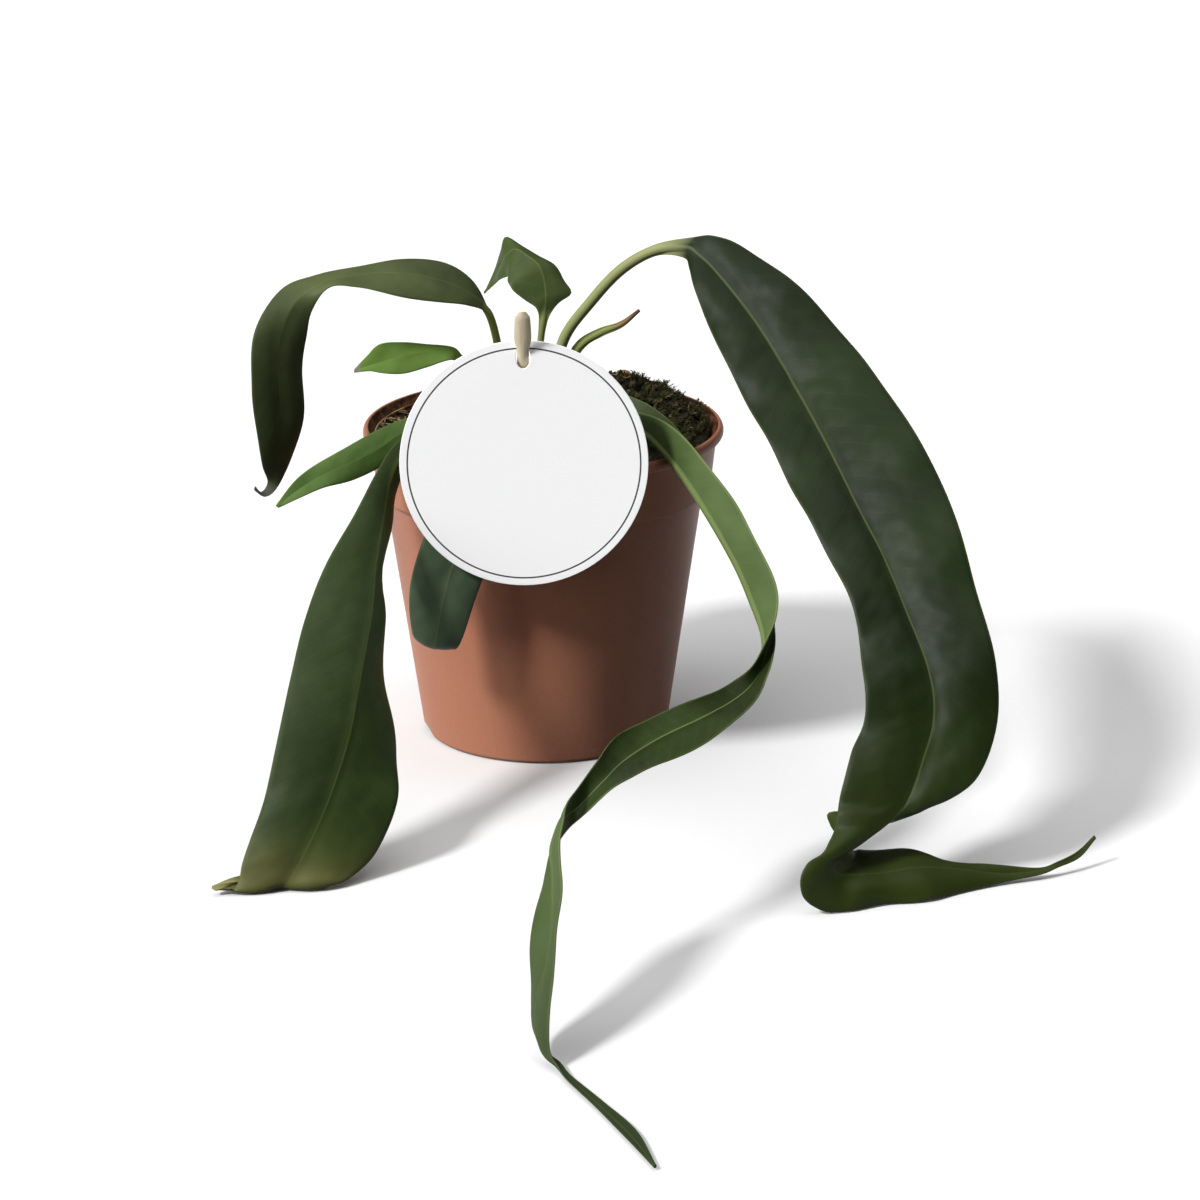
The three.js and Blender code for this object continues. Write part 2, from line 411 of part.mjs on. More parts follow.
// The pot: lip, collar, step, tapered wall, foot ring, raised base with a flat pad in its middle
function potGeometry() {
  const collarTop = rimRadius - lipOverhang;
  const collarEdge = bodyTopRadius + collarStep;
  const lipFoot = potHeight - lipHeight;
  const floorTop = baseRise + baseThick;
  const profile = [
    [0, 0],
    [centrePadRadius, 0],
    [centrePadRadius + 1.5, baseRise],
    [footRadius - footRingWidth - 0.8, baseRise],
    [footRadius - footRingWidth, 0.6],
    [footRadius - footRingWidth + 0.6, 0],
    [footRadius - 0.8, 0],
    [footRadius, 0.8],
    [bodyTopRadius, collarFoot],
    [collarEdge - 0.4, collarFoot],
    [collarEdge, collarFoot + 0.6],
    [collarTop, lipFoot - 0.4],
    [rimRadius - 0.7, lipFoot - 0.2],
    [rimRadius, lipFoot + 0.7],
    [rimRadius, potHeight - 1.6],
    [rimRadius - 0.6, potHeight - 0.4],
    [rimRadius - 1.4, potHeight],
    [rimRadius - 2.1, potHeight - 0.4],
    [collarTop - wall, potHeight - lipFlare],
    [collarEdge - wall, collarFoot + 1],
    [bodyTopRadius - wall, collarFoot - wall],
    [footRadius + 0.6 - wall, floorTop + 1],
    [footRadius - 0.6 - wall, floorTop],
    [0, floorTop],
  ];
  let body = solidOf(turned(profile, roundSides));
  for (let hole = 0; hole < drainHoles; hole += 1) {
    const angle = (2 * Math.PI * (hole + 0.5)) / drainHoles;
    const [x, y] = [drainCircle * Math.cos(angle), drainCircle * Math.sin(angle)];
    body = body.subtract(solidOf(bar([x, y, -1], [x, y, floorTop + 1], drainRadius, 16)));
  }
  const notchRadius = ((notchWidth / 2) ** 2 + notchHeight ** 2) / (2 * notchHeight);
  for (let notch = 0; notch < notches; notch += 1) {
    const angle = rad(notchAngle + (360 * notch) / notches);
    const point = (radius) => [
      radius * Math.cos(angle),
      radius * Math.sin(angle),
      notchHeight - notchRadius,
    ];
    body = body.subtract(solidOf(bar(point(footRadius - 6), point(footRadius + 3), notchRadius, 48)));
  }
  return geometryOf(body);
}

// The straight hole for a stalk's foot in the mix, a little wider than the stalk at its first station
function stalkHole(stations) {
  const [x, y, z] = stations[0].rib;
  return bar([x, y, z - 1], [x, y, potHeight + 20], stations[0].thick / 2 + stalkFit, 12);
}

// Potting mix: fills the pot, with a lumpy top that is low at the left and high at the right. The roots
// have pushed it up in a bank against the left of the rim.
function soilHeight(x, y) {
  const bank = soilBank * Math.max(0, -x / rimRadius) * (Math.hypot(x, y) / rimRadius) ** 6;
  const lean = 2.2 * (x / rimRadius) + bank;
  const lumps = 1.1 * Math.sin(x / 6.1 + 0.8) * Math.cos(y / 5.3) + 0.8 * Math.sin((x + 2 * y) / 8.7);
  return soilTop + lean + lumps;
}

// The inside radius of the pot at a height, which the filling keeps clear of
function insideRadius(height) {
  const share = (height - baseRise - baseThick - 1) / (collarFoot - wall - baseRise - baseThick - 1);
  const below = THREE.MathUtils.lerp(footRadius + 0.6 - wall, bodyTopRadius - wall, share);
  if (height <= collarFoot - wall) return below;
  const collar = (height - collarFoot - 1) / (potHeight - lipFlare - collarFoot - 1);
  const top = rimRadius - lipOverhang - wall;
  return THREE.MathUtils.lerp(bodyTopRadius + collarStep - wall, top, Math.max(collar, 0));
}

function soilGeometry() {
  const sides = 40;
  const rings = 7;
  const floorTop = baseRise + baseThick + fit;
  const edge = insideRadius(soilTop) - fit;
  const step = [
    [insideRadius(collarFoot - wall) - fit, collarFoot - wall],
    [insideRadius(collarFoot + 1) - fit, collarFoot + 1.6],
  ];
  const profile = [[0, floorTop], [footRadius - wall - 1, floorTop], ...step];
  for (let ring = rings; ring > 0; ring -= 1) profile.push([(edge * ring) / rings, soilTop]);
  profile.push([0, soilTop]);
  const geometry = turned(profile, sides);
  const position = geometry.getAttribute("position");
  for (let i = 0; i < position.count; i += 1) {
    if (position.getZ(i) < soilTop - 0.1) continue;
    const [x, y] = [position.getX(i), position.getY(i)];
    position.setZ(i, soilHeight(x, y));
  }
  let body = solidOf(geometry);
  for (const { stations } of Object.values(leaves)) body = body.subtract(solidOf(stalkHole(stations)));
  body = body.subtract(solidOf(stalkHole(sheath)));
  const [x, y] = crownPlace;
  body = body.subtract(solidOf(bar([x, y, stalkFoot - 1], [x, y, crownTop], crownRadius + fit, 16)));
  body = body.subtract(solidOf(stakeGeometry(fit)));
  return geometryOf(body);
}

// A wide sheet with a shaped top: rows of points over rows of points, closed all round
function slabGeometry(top, bottom) {
  const rows = top.length - 1;
  const columns = top[0].length - 1;
  const under = (rows + 1) * (columns + 1);
  const node = (row, column) => row * (columns + 1) + column;
  const triangles = [];
  const quad = (a, b, c, d) => triangles.push(a, b, c, a, c, d);
  for (let row = 0; row < rows; row += 1) {
    for (let column = 0; column < columns; column += 1) {
      const [a, b] = [node(row, column), node(row + 1, column)];
      const [c, d] = [node(row + 1, column + 1), node(row, column + 1)];
      quad(a, b, c, d);
      triangles.push(under + a, under + c, under + b, under + a, under + d, under + c);
    }
    const [left, nextLeft] = [node(row, 0), node(row + 1, 0)];
    quad(left, under + left, under + nextLeft, nextLeft);
    const [right, nextRight] = [node(row, columns), node(row + 1, columns)];
    quad(right, nextRight, under + nextRight, under + right);
  }
  for (let column = 0; column < columns; column += 1) {
    const [first, next] = [node(0, column), node(0, column + 1)];
    quad(first, next, under + next, under + first);
    const [last, afterLast] = [node(rows, column), node(rows, column + 1)];
    quad(last, under + last, under + afterLast, afterLast);
  }
  const positions = [...top, ...bottom].flat(2);
  const geometry = new THREE.BufferGeometry();
  geometry.setAttribute("position", new THREE.Float32BufferAttribute(positions, 3));
  geometry.setIndex(triangles);
  return geometry;
}

// Moss: a loose cushion on the mix at the right, highest near the stalks, with a ragged top
function mossGeometry() {
  const [from, to] = [rad(84), rad(-30)];
  const inner = 15;
  const outer = insideRadius(soilTop + 2) - fit - 0.4;
  const across = 8;
  const round = 18;
  const top = [];
  const bottom = [];
  for (let i = 0; i <= round; i += 1) {
    const angle = THREE.MathUtils.lerp(from, to, i / round);
    top.push([]);
    bottom.push([]);
    for (let j = 0; j <= across; j += 1) {
      const radius = THREE.MathUtils.lerp(inner, outer, j / across);
      const [x, y] = [radius * Math.cos(angle), radius * Math.sin(angle)];
      const ends = Math.sin((Math.PI * i) / round) ** 0.6;
      const sides = Math.sin(Math.PI * THREE.MathUtils.lerp(0.22, 0.92, j / across)) ** 0.8;
      const ragged = 1.1 * Math.sin(0.9 * x + 2 * y) + 0.9 * Math.sin(1.7 * x - 0.6 * y);
      const base = soilHeight(x, y) + mossLift;
      top[i].push([x, y, base + 1 + ends * sides * (mossHeight + 0.08 * y + ragged)]);
      bottom[i].push([x, y, base]);
    }
  }
  return slabGeometry(top, bottom);
}

// The crown: a short ringed stem that the stalks stand round
function crownGeometry() {
  const [x, y] = crownPlace;
  const profile = [
    [0, stalkFoot],
    [crownRadius, stalkFoot],
    [crownRadius, soilTop],
    [crownRadius * 0.9, soilTop + 3],
    [crownRadius * 0.95, soilTop + 4],
    [crownRadius * 0.6, crownTop - 1],
    [0, crownTop],
  ];
  return turned(profile, 16).translate(x, y, 0);
}

// A dried sheath that wrapped a young leaf: a narrow curved scroll with a brown tip
const sheath = [
  { rib: [4, 9, stalkFoot], left: [1, 0, 0], right: [-1, 0, 0], thick: 2.6 },
  { rib: [4, 9, 99], left: [1, 0, 0], right: [-1, 0, 0], thick: 2.6 },
  { rib: [6, 6, 118], left: [1.3, 0, 0], right: [-1.3, 0, 0], thick: 2.8 },
  { rib: [12, 2, 131], left: [1.3, 0, -0.8], right: [-1.3, 0, 0.8], thick: 2.8 },
  { rib: [19, 1, 136], left: [0.6, 0, -1.2], right: [-0.6, 0, 1.2], thick: 2 },
  { rib: [26, 0, 139], left: [0.4, 0, -0.8], right: [-0.4, 0, 0.8], thick: 1.4 },
  { rib: [32, -1, 144], left: [0.2, 0, -0.3], right: [-0.2, 0, 0.3], thick: 0.9 },
];

// The card leans back a little, in front of the rim. These are its own upward direction and its hole's
// place.
const cardUp = new THREE.Vector3(0, Math.sin(rad(cardLean)), Math.cos(rad(cardLean)));
const cardHole = new THREE.Vector3(...cardCentre).addScaledVector(cardUp, cardRadius - cardHoleDrop);

function cardGeometry() {
  const disc = new THREE.Shape().absarc(0, 0, cardRadius, 0, 2 * Math.PI);
  const hole = new THREE.Path();
  const holeAt = cardRadius - cardHoleDrop;
  hole.absellipse(0, holeAt, cardHoleWide, cardHoleTall, 0, 2 * Math.PI, true);
  disc.holes.push(hole);
  const settings = { depth: cardThick, bevelEnabled: false, curveSegments: 32 };
  const geometry = new THREE.ExtrudeGeometry(disc, settings).translate(0, 0, -cardThick / 2);
  return geometry
    .rotateX(Math.PI / 2 - rad(cardLean))
    .translate(...cardCentre);
}

// The stake: a flat split of bamboo that stands in the mix behind the card, leans forward, and comes
// out through the card's hole to a rounded point
function stakeGeometry(extra) {
  const up = new THREE.Vector3(0, -Math.sin(rad(stakeLean)), Math.cos(rad(stakeLean)));
  const holeAt = (cardHole.z - stakeFoot) / up.z;
  const foot = cardHole.clone().addScaledVector(up, -holeAt);
  const long = holeAt + stakeReach;
  const half = stakeWidth / 2;
  const outline = [
    [0, half],
    [holeAt - 14, half],
    [holeAt - 6, stakeNeck / 2],
    [holeAt + 2.5, stakeNeck / 2],
    [holeAt + 5, half - 0.3],
    [holeAt + 8, half],
    [long - 3, half - 0.3],
    [long - 1.2, half - 1],
    [long - 0.2, 1],
    [long, 0.4],
  ];
  const shape = new THREE.Shape();
  shape.moveTo(-half - extra, -extra);
  for (const [at, reach] of outline.slice(1)) shape.lineTo(-reach - extra, at);
  for (const [at, reach] of outline.slice(1).toReversed()) shape.lineTo(reach + extra, at);
  shape.lineTo(half + extra, -extra);
  const settings = { depth: stakeThick + 2 * extra, bevelEnabled: false };
  const geometry = new THREE.ExtrudeGeometry(shape, settings);
  geometry.translate(0, 0, -stakeThick / 2 - extra);
  return geometry.rotateX(Math.PI / 2 + rad(stakeLean)).translate(...foot.toArray());
}

// Put together
const plant = new THREE.Group();
plant.name = "potted_aroid";

function place(name, geometry, colour, roughness) {
  const material = new THREE.MeshStandardMaterial({ color: colour, roughness, metalness: 0 });
  const mesh = new THREE.Mesh(geometry, material);
  mesh.name = name;
  plant.add(mesh);
}

place("pot", potGeometry(), 0xb5735a, 0.5);
place("soil", soilGeometry(), 0x2c2218, 0.95);
place("crown", crownGeometry(), 0x6b5a3c, 0.9);
for (const [name, { stations, colour, ...shape }] of Object.entries(leaves)) {
  place(name, leafGeometry(stations, shape), colour, 0.4);
}
place("sheath", leafGeometry(sheath, {}), 0x8a7a4c, 0.7);
place("card", cardGeometry(), 0xeef0f0, 0.6);
place("stake", stakeGeometry(0), 0xddc08f, 0.6);
place("moss", mossGeometry(), 0x2b2f16, 0.95);

export default plant;
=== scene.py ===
import math
import random

import bmesh
import bpy
from mathutils import Matrix, Vector, noise


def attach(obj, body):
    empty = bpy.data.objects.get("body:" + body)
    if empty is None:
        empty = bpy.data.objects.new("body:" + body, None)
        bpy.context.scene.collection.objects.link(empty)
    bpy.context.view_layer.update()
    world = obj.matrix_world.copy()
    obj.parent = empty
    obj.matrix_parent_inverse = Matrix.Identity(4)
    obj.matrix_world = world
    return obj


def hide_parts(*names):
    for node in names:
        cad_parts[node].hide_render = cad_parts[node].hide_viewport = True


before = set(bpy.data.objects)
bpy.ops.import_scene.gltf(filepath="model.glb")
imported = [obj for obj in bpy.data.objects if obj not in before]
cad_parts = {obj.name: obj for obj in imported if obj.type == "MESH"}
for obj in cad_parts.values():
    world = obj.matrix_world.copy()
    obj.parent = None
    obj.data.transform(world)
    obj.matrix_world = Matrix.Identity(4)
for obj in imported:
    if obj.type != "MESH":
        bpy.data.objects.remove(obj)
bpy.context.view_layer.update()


# Camera
# A long lens 1.2 m in front of the pot and 0.44 m up. It looks down on it at about 18 degrees, and it is
# turned and rolled by less than a degree.
camera_place = Vector((0, -1.2, 0.4413))
camera_down = math.radians(18.35)
camera_turn = math.radians(0.89)
camera_roll = math.radians(-0.23)
camera_lens = 112.2

level = Vector((math.cos(camera_turn), -math.sin(camera_turn), 0))
ahead = Vector((math.sin(camera_turn), math.cos(camera_turn), 0))
upright = Vector((0, 0, 1))
gaze = ahead * math.cos(camera_down) - upright * math.sin(camera_down)
lifted = ahead * math.sin(camera_down) + upright * math.cos(camera_down)
camera_right = level * math.cos(camera_roll) + lifted * math.sin(camera_roll)
camera_up = lifted * math.cos(camera_roll) - level * math.sin(camera_roll)

camera = bpy.data.objects.new("camera", bpy.data.cameras.new("camera"))
camera.data.lens = camera_lens
camera.data.sensor_width = 36
camera.data.clip_end = 50
axes = Matrix((camera_right, camera_up, -gaze)).transposed().to_4x4()
camera.matrix_world = Matrix.Translation(camera_place) @ axes
bpy.context.collection.objects.link(camera)
bpy.context.scene.camera = camera


# Studio
# A white floor that fills the picture, a lamp high at the front left whose shadows lie to the back right
# with soft edges, and a weaker wide one low at the left. The room adds light, nearly all from overhead: it
# starts where a direction rises by overhead_from of its length and is full at overhead_full.
floor_size = 40
floor_drop = 0.0003
lamp_from = Vector((-0.88, -0.70, 1))
lamp_strength = 3.1
lamp_spread = math.radians(10)
fill_from = Vector((-1, -0.45, 0.2))
fill_strength = 2.1
fill_spread = math.radians(50)
room_overhead = 1.7
room_side = 0.04
overhead_from = 0.65
overhead_full = 0.95


def colour(code):
    """The linear colour of a screen colour such as "#B5705A"."""
    shares = [int(code[at:at + 2], 16) / 255 for at in (1, 3, 5)]
    linear = [share / 12.92 if share <= 0.04045 else ((share + 0.055) / 1.055) ** 2.4 for share in shares]
    return (*linear, 1)


class Value:
    """One output of a node. Sums on it add Math nodes beside it."""

    def __init__(self, shading, socket):
        self.shading = shading
        self.socket = socket

    def math(self, operation, *terms):
        return self.shading.node("ShaderNodeMath", {"operation": operation}, dict(enumerate(terms)))

    def __add__(self, other):
        return self.math("ADD", self, other)

    __radd__ = __add__

    def __sub__(self, other):
        return self.math("SUBTRACT", self, other)

    def __rsub__(self, other):
        return self.math("SUBTRACT", other, self)

    def __mul__(self, other):
        return self.math("MULTIPLY", self, other)

    __rmul__ = __mul__

    def __truediv__(self, other):
        return self.math("DIVIDE", self, other)

    def __abs__(self):
        return self.math("ABSOLUTE", self)


class Shading:
    """The nodes of a material or of the world. The node method adds any node and gives one of its outputs.

    An input is a value, a number or vector, or a screen colour such as "#B5705A".
    """

    def __init__(self, owner, shader, inputs):
        owner.use_nodes = True
        self.owner = owner
        self.tree = owner.node_tree
        self.shader = self.tree.nodes[shader]
        self.give(self.shader, inputs)

    def give(self, node, inputs):
        for name, value in inputs.items():
            if isinstance(value, Value):
                self.tree.links.new(value.socket, node.inputs[name])
            else:
                node.inputs[name].default_value = colour(value) if isinstance(value, str) else value

    def node(self, kind, settings={}, inputs={}, output=0):
        node = self.tree.nodes.new(kind)
        for name, value in settings.items():
            setattr(node, name, value)
        self.give(node, inputs)
        return Value(self, node.outputs[output])

    def finish(self, inputs):
        self.give(self.shader, inputs)
        return self.owner

    def mix(self, share, first, second):
        return self.node("ShaderNodeMix", {"data_type": "RGBA"}, {0: share, 6: first, 7: second}, 2)

    def rise(self, value, low, high):
        """0 below low, 1 above high and smooth in between. It falls instead where low is the greater."""
        settings = {"interpolation_type": "SMOOTHSTEP"}
        return self.node("ShaderNodeMapRange", settings, {"Value": value, "From Min": low, "From Max": high})

    def place(self):
        return self.node("ShaderNodeTexCoord", output="Object")

    def field(self, name):
        return self.node("ShaderNodeAttribute", {"attribute_name": name}, output="Fac")

    def cloud(self, where, scale, detail=2, roughness=0.5):
        inputs = {"Vector": where, "Scale": scale, "Detail": detail, "Roughness": roughness}
        return self.node("ShaderNodeTexNoise", {}, inputs)

    def vector(self, x, y, z):
        return self.node("ShaderNodeCombineXYZ", {}, {0: x, 1: y, 2: z})

    def dot(self, first, second):
        return self.node("ShaderNodeVectorMath", {"operation": "DOT_PRODUCT"}, {0: first, 1: second}, "Value")

    def relief(self, height, depth):
        """A bumpy surface: height runs from 0 to 1 and depth is in metres."""
        return self.node("ShaderNodeBump", {}, {"Height": height, "Distance": depth}, "Normal")


def material(name, inputs):
    return Shading(bpy.data.materials.new(name), "Principled BSDF", inputs)


room = Shading(bpy.data.worlds.new("room"), "Background", {"Color": (1, 1, 1, 1)})
heading = room.node("ShaderNodeTexCoord", output="Generated")
overhead = room.rise(room.dot(heading, upright), overhead_from, overhead_full)
light = room_side + (room_overhead - room_side) * overhead
backdrop = room.node("ShaderNodeLightPath", output="Is Camera Ray")
bpy.context.scene.world = room.finish({"Strength": light + backdrop * (1 - light)})

for name, side, strength, spread in [
    ("lamp", lamp_from, lamp_strength, lamp_spread),
    ("fill", fill_from, fill_strength, fill_spread),
]:
    lamp = bpy.data.objects.new(name, bpy.data.lights.new(name, "SUN"))
    lamp.data.energy = strength
    lamp.data.angle = spread
    lamp.rotation_euler = (-side).to_track_quat("-Z", "Y").to_euler()
    bpy.context.collection.objects.link(lamp)

paint = material("floor_white", {"Base Color": "#E6E6E6", "Roughness": 1, "Specular IOR Level": 0})
half = floor_size / 2
corners = [(x * half, y * half, -floor_drop) for x, y in ((-1, -1), (1, -1), (1, 1), (-1, 1))]
floor_mesh = bpy.data.meshes.new("floor")
floor_mesh.from_pydata(corners, [], [(0, 1, 2, 3)])
floor_mesh.materials.append(paint.owner)
floor = bpy.data.objects.new("floor", floor_mesh)
floor.visible_diffuse = False
bpy.context.collection.objects.link(floor)
bpy.context.scene.view_settings.view_transform = "Standard"


# Pot
# A round nursery pot moulded in one piece of thin terracotta plastic: a rolled lip, a collar that steps in
# to a tapered wall, a foot ring with shallow arches, and a raised base with drain holes round a flat pad.
rim_radius = 60
pot_height = 105.7
lip_height = 3.6
lip_overhang = 2.3
lip_flare = 4
collar_foot = 84.4
collar_step = 2.4
body_top_radius = 53.4
foot_radius = 41.4
wall = 1.4
base_rise = 3.4
base_thick = 1.8
centre_pad_radius = 12
foot_ring_width = 3.2
drain_holes = 8
drain_radius = 4.5
drain_circle = 25
notches = 3
notch_width = 17
notch_height = 3
notch_depth = 9
notch_angle = 194
pot_sides = 160
pot_rounding = 0.5
cutter_sides = 96
sharp_angle = 30


def piece(name, points, faces, finish, replaced=(), smooth=sharp_angle, fields={}):
    """A piece of the plant from points in millimetres, with the named numbers of each point as fields.

    Its edges look sharp where they turn by more than smooth degrees.
    """
    mesh = bpy.data.meshes.new(name)
    mesh.from_pydata([Vector(point) / 1000 for point in points], [], faces)
    mesh.polygons.foreach_set("use_smooth", [True] * len(mesh.polygons))
    mesh.set_sharp_from_angle(angle=math.radians(smooth))
    for field, numbers in fields.items():
        mesh.attributes.new(field, "FLOAT", "POINT").data.foreach_set("value", numbers)
    mesh.materials.append(finish)
    made = bpy.data.objects.new(name, mesh)
    bpy.context.collection.objects.link(made)
    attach(made, "root")
    if replaced:
        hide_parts(*replaced)
    return made


def inside_radius(height):
    """How wide the pot is inside, at a height above its collar's foot."""
    low, high = collar_edge - wall, rim_radius - lip_overhang - wall
    share = (height - collar_foot - 1) / (pot_height - lip_flare - collar_foot - 1)
    return low + (high - low) * max(share, 0)


def around(radius, angle):
    """The x and y of a point at a distance and an angle from an upright axis."""
    return radius * math.cos(angle), radius * math.sin(angle)


def softened(profile, reach):
    """The same outline with each corner rounded by three points, at most reach from the corner."""
    points = [Vector(profile[0])]
    for before, corner, after in zip(profile, profile[1:], profile[2:]):
        before, corner, after = Vector(before), Vector(corner), Vector(after)
        into, out = before - corner, after - corner
        start = corner + into.normalized() * min(reach, into.length * 0.4)
        end = corner + out.normalized() * min(reach, out.length * 0.4)
        points += [start, start * 0.25 + corner * 0.5 + end * 0.25, end]
    return points + [Vector(profile[-1])]


def turned(profile, sides, centre=(0, 0)):
    """Points and faces of a body turned about an upright axis, from (radius, height) pairs."""
    points = []
    rings = []
    for radius, height in profile:
        count = sides if radius > 1e-6 else 1
        rings.append([len(points) + at for at in range(count)])
        for at in range(count):
            x, y = around(radius, 2 * math.pi * at / sides)
            points.append((centre[0] + x, centre[1] + y, height))
    faces = []
    for low, high in zip(rings, rings[1:]):
        for at in range(sides):
            after = (at + 1) % sides
            ring = [low[at % len(low)], low[after % len(low)], high[after % len(high)], high[at % len(high)]]
            faces.append(list(dict.fromkeys(ring)))
    return points, faces


def cut(body, cutters):
    """Takes the cutters out of a body and leaves its mesh plain."""
    for cutter in cutters:
        tool = body.modifiers.new("cut", "BOOLEAN")
        tool.operation = "DIFFERENCE"
        tool.solver = "EXACT"
        tool.object = cutter
    shaped = body.evaluated_get(bpy.context.evaluated_depsgraph_get())
    body.modifiers.clear()
    body.data = bpy.data.meshes.new_from_object(shaped)
    for cutter in cutters:
        bpy.data.objects.remove(cutter)


def cylinder(centre, radius, length, turn):
    """A cutter along the direction that turn gives to its own Z, in millimetres."""
    mesh = bpy.data.meshes.new("cutter")
    shape = bmesh.new()
    sizes = {"radius1": radius / 1000, "radius2": radius / 1000, "depth": length / 1000}
    bmesh.ops.create_cone(shape, cap_ends=True, segments=cutter_sides, **sizes)
    shape.transform(Matrix.Translation(Vector(centre) / 1000) @ turn)
    shape.to_mesh(mesh)
    shape.free()
    cutter = bpy.data.objects.new("cutter", mesh)
    bpy.context.collection.objects.link(cutter)
    return cutter


clay = material("pot_plastic", {"Specular IOR Level": 0.2})
where = clay.place()
broad = clay.cloud(where, 14, 2)
fine = clay.cloud(where, 900, 3, 0.6)
streak = clay.cloud(clay.node("ShaderNodeMapping", {}, {"Vector": where, "Scale": (60, 60, 500)}), 1, 3, 0.7)
scuff = clay.rise(clay.cloud(where, 70, 4, 0.75), 0.70, 0.74) * clay.rise(streak, 0.5, 0.62)
tone = clay.mix(broad, "#AE7156", "#BB8167")
tone = clay.mix(0.25 * fine, tone, "#8E4C38")
tone = clay.mix(0.3 * scuff, tone, "#D9B09C")
# The inner wall is darkened as a stain from the mix plus painted shade in the pot's hollow; a band round the
# lip is darkened too.
blotch = clay.rise(clay.cloud(where, 260, 4, 0.7), 0.4, 0.62)
near_top = clay.rise(clay.dot(where, upright), (pot_height - 3.7) / 1000, (pot_height - 0.2) / 1000)
stain_and_painted_shade = clay.field("inside") * (0.82 - 0.34 * blotch) + 0.3 * near_top
tone = clay.mix(stain_and_painted_shade, tone, "#32200F")
clay.finish({
    "Base Color": tone,
    "Roughness": 0.42 + 0.1 * fine + 0.15 * scuff,
    "Normal": clay.relief(fine + 0.6 * streak, 0.00003),
})

collar_top = rim_radius - lip_overhang
collar_edge = body_top_radius + collar_step
lip_foot = pot_height - lip_height
floor_top = base_rise + base_thick
pot_profile = [
    (0, 0),
    (centre_pad_radius, 0),
    (centre_pad_radius + 1.5, base_rise),
    (foot_radius - foot_ring_width - 0.8, base_rise),
    (foot_radius - foot_ring_width, 0.6),
    (foot_radius - foot_ring_width + 0.6, 0),
    (foot_radius - 0.8, 0),
    (foot_radius, 0.8),
    (body_top_radius, collar_foot),
    (collar_edge - 0.4, collar_foot),
    (collar_edge, collar_foot + 0.6),
    (collar_top, lip_foot - 0.4),
    (rim_radius - 0.7, lip_foot - 0.2),
    (rim_radius, lip_foot + 0.7),
    (rim_radius, pot_height - 1.6),
    (rim_radius - 0.6, pot_height - 0.4),
    (rim_radius - 1.4, pot_height),
    (rim_radius - 2.1, pot_height - 0.4),
    (collar_top - wall, pot_height - lip_flare),
    (collar_edge - wall, collar_foot + 1),
    (body_top_radius - wall, collar_foot - wall),
    (foot_radius + 0.6 - wall, floor_top + 1),
    (foot_radius - 0.6 - wall, floor_top),
    (0, floor_top),
]
points, faces = turned(softened(pot_profile, pot_rounding), pot_sides)

# The inner wall from the collar's foot up and the flaring lip's inside are darkened: mix stain plus painted
# shade.
inside = []
for x, y, z in points:
    widest = inside_radius(z) + 0.2 + 0.35 * max(0, z - pot_height + lip_flare)
    inside.append(float(z > collar_foot + 0.5 and math.hypot(x, y) < widest))
pot = piece("pot_shell", points, faces, clay.owner, ["pot"], fields={"inside": inside})
cutters = []
for hole in range(drain_holes):
    centre = (*around(drain_circle, 2 * math.pi * (hole + 0.5) / drain_holes), floor_top / 2)
    cutters.append(cylinder(centre, drain_radius, 3 * floor_top, Matrix()))
notch_radius = ((notch_width / 2) ** 2 + notch_height**2) / (2 * notch_height)
for notch in range(notches):
    out = Vector((*around(1, math.radians(notch_angle + 360 * notch / notches)), 0))
    centre = out * (foot_radius - 1.5) + upright * (notch_height - notch_radius)
    turn = out.to_track_quat("Z", "Y").to_matrix().to_4x4()
    cutters.append(cylinder(centre, notch_radius, notch_depth, turn))
cut(pot, cutters)
pot.data.set_sharp_from_angle(angle=math.radians(sharp_angle))


# Potting mix
# Dark peat and bark that fill the pot to a little under the rim, lumpy and higher at the right. Loose
# crumbs lie on it, and pale dry roots run over it along the inside of the rim.
fit = 0.4
soil_top = 97
soil_bank = 12
soil_rings = 46
soil_sides = 132
crumb_count = 1500
fine_share = 0.85
fine_crumb = (0.4, 1.1)
coarse_crumb = (1.1, 2.1)
root_count = 40
wall_root_count = 60
root_steps = 16
root_stride = 0.032
wall_root_top = 102.8
root_top = 104.8
chance = random.Random(7)
vary = chance.uniform


def soil_height(x, y):
    bank = soil_bank * max(0, -x / rim_radius) * (math.hypot(x, y) / rim_radius) ** 6
    lean = 2.2 * (x / rim_radius) + bank
    lumps = 1.1 * math.sin(x / 6.1 + 0.8) * math.cos(y / 5.3) + 0.8 * math.sin((x + 2 * y) / 8.7)
    return soil_top + lean + lumps


def soil_surface(x, y):
    """The height of the mix with its crumbly relief."""
    rough = noise.fractal(Vector((x, y, 3)) / 3.5, 0.9, 2.1, 4)
    return soil_height(x, y) + 0.9 * rough


peat = material("potting_mix", {"Specular IOR Level": 0.25})
where = peat.place()
grain = peat.cloud(where, 420, 5, 0.65)
damp = peat.cloud(where, 60, 2)
tone = peat.mix(peat.rise(grain, 0.35, 0.7), "#120E08", "#332718")
tone = peat.mix(0.5 * damp, tone, "#120D09")
peat.finish({
    "Base Color": tone,
    "Roughness": 0.95 - 0.15 * damp,
    "Normal": peat.relief(grain, 0.0008),
})

edge = inside_radius(soil_top) - fit
profile = [
    (0, floor_top + fit),
    (foot_radius - wall - 1, floor_top + fit),
    (body_top_radius - wall - fit - 0.1, collar_foot - wall),
    (inside_radius(collar_foot + 1) - fit, collar_foot + 1.6),
]
profile += [(edge * ring / soil_rings, soil_top) for ring in range(soil_rings, -1, -1)]
points, faces = turned(profile, soil_sides)
points = [(x, y, soil_surface(x, y)) if z > soil_top - 0.1 else (x, y, z) for x, y, z in points]
piece("mix", points, faces, peat.owner, ["soil"], 60)


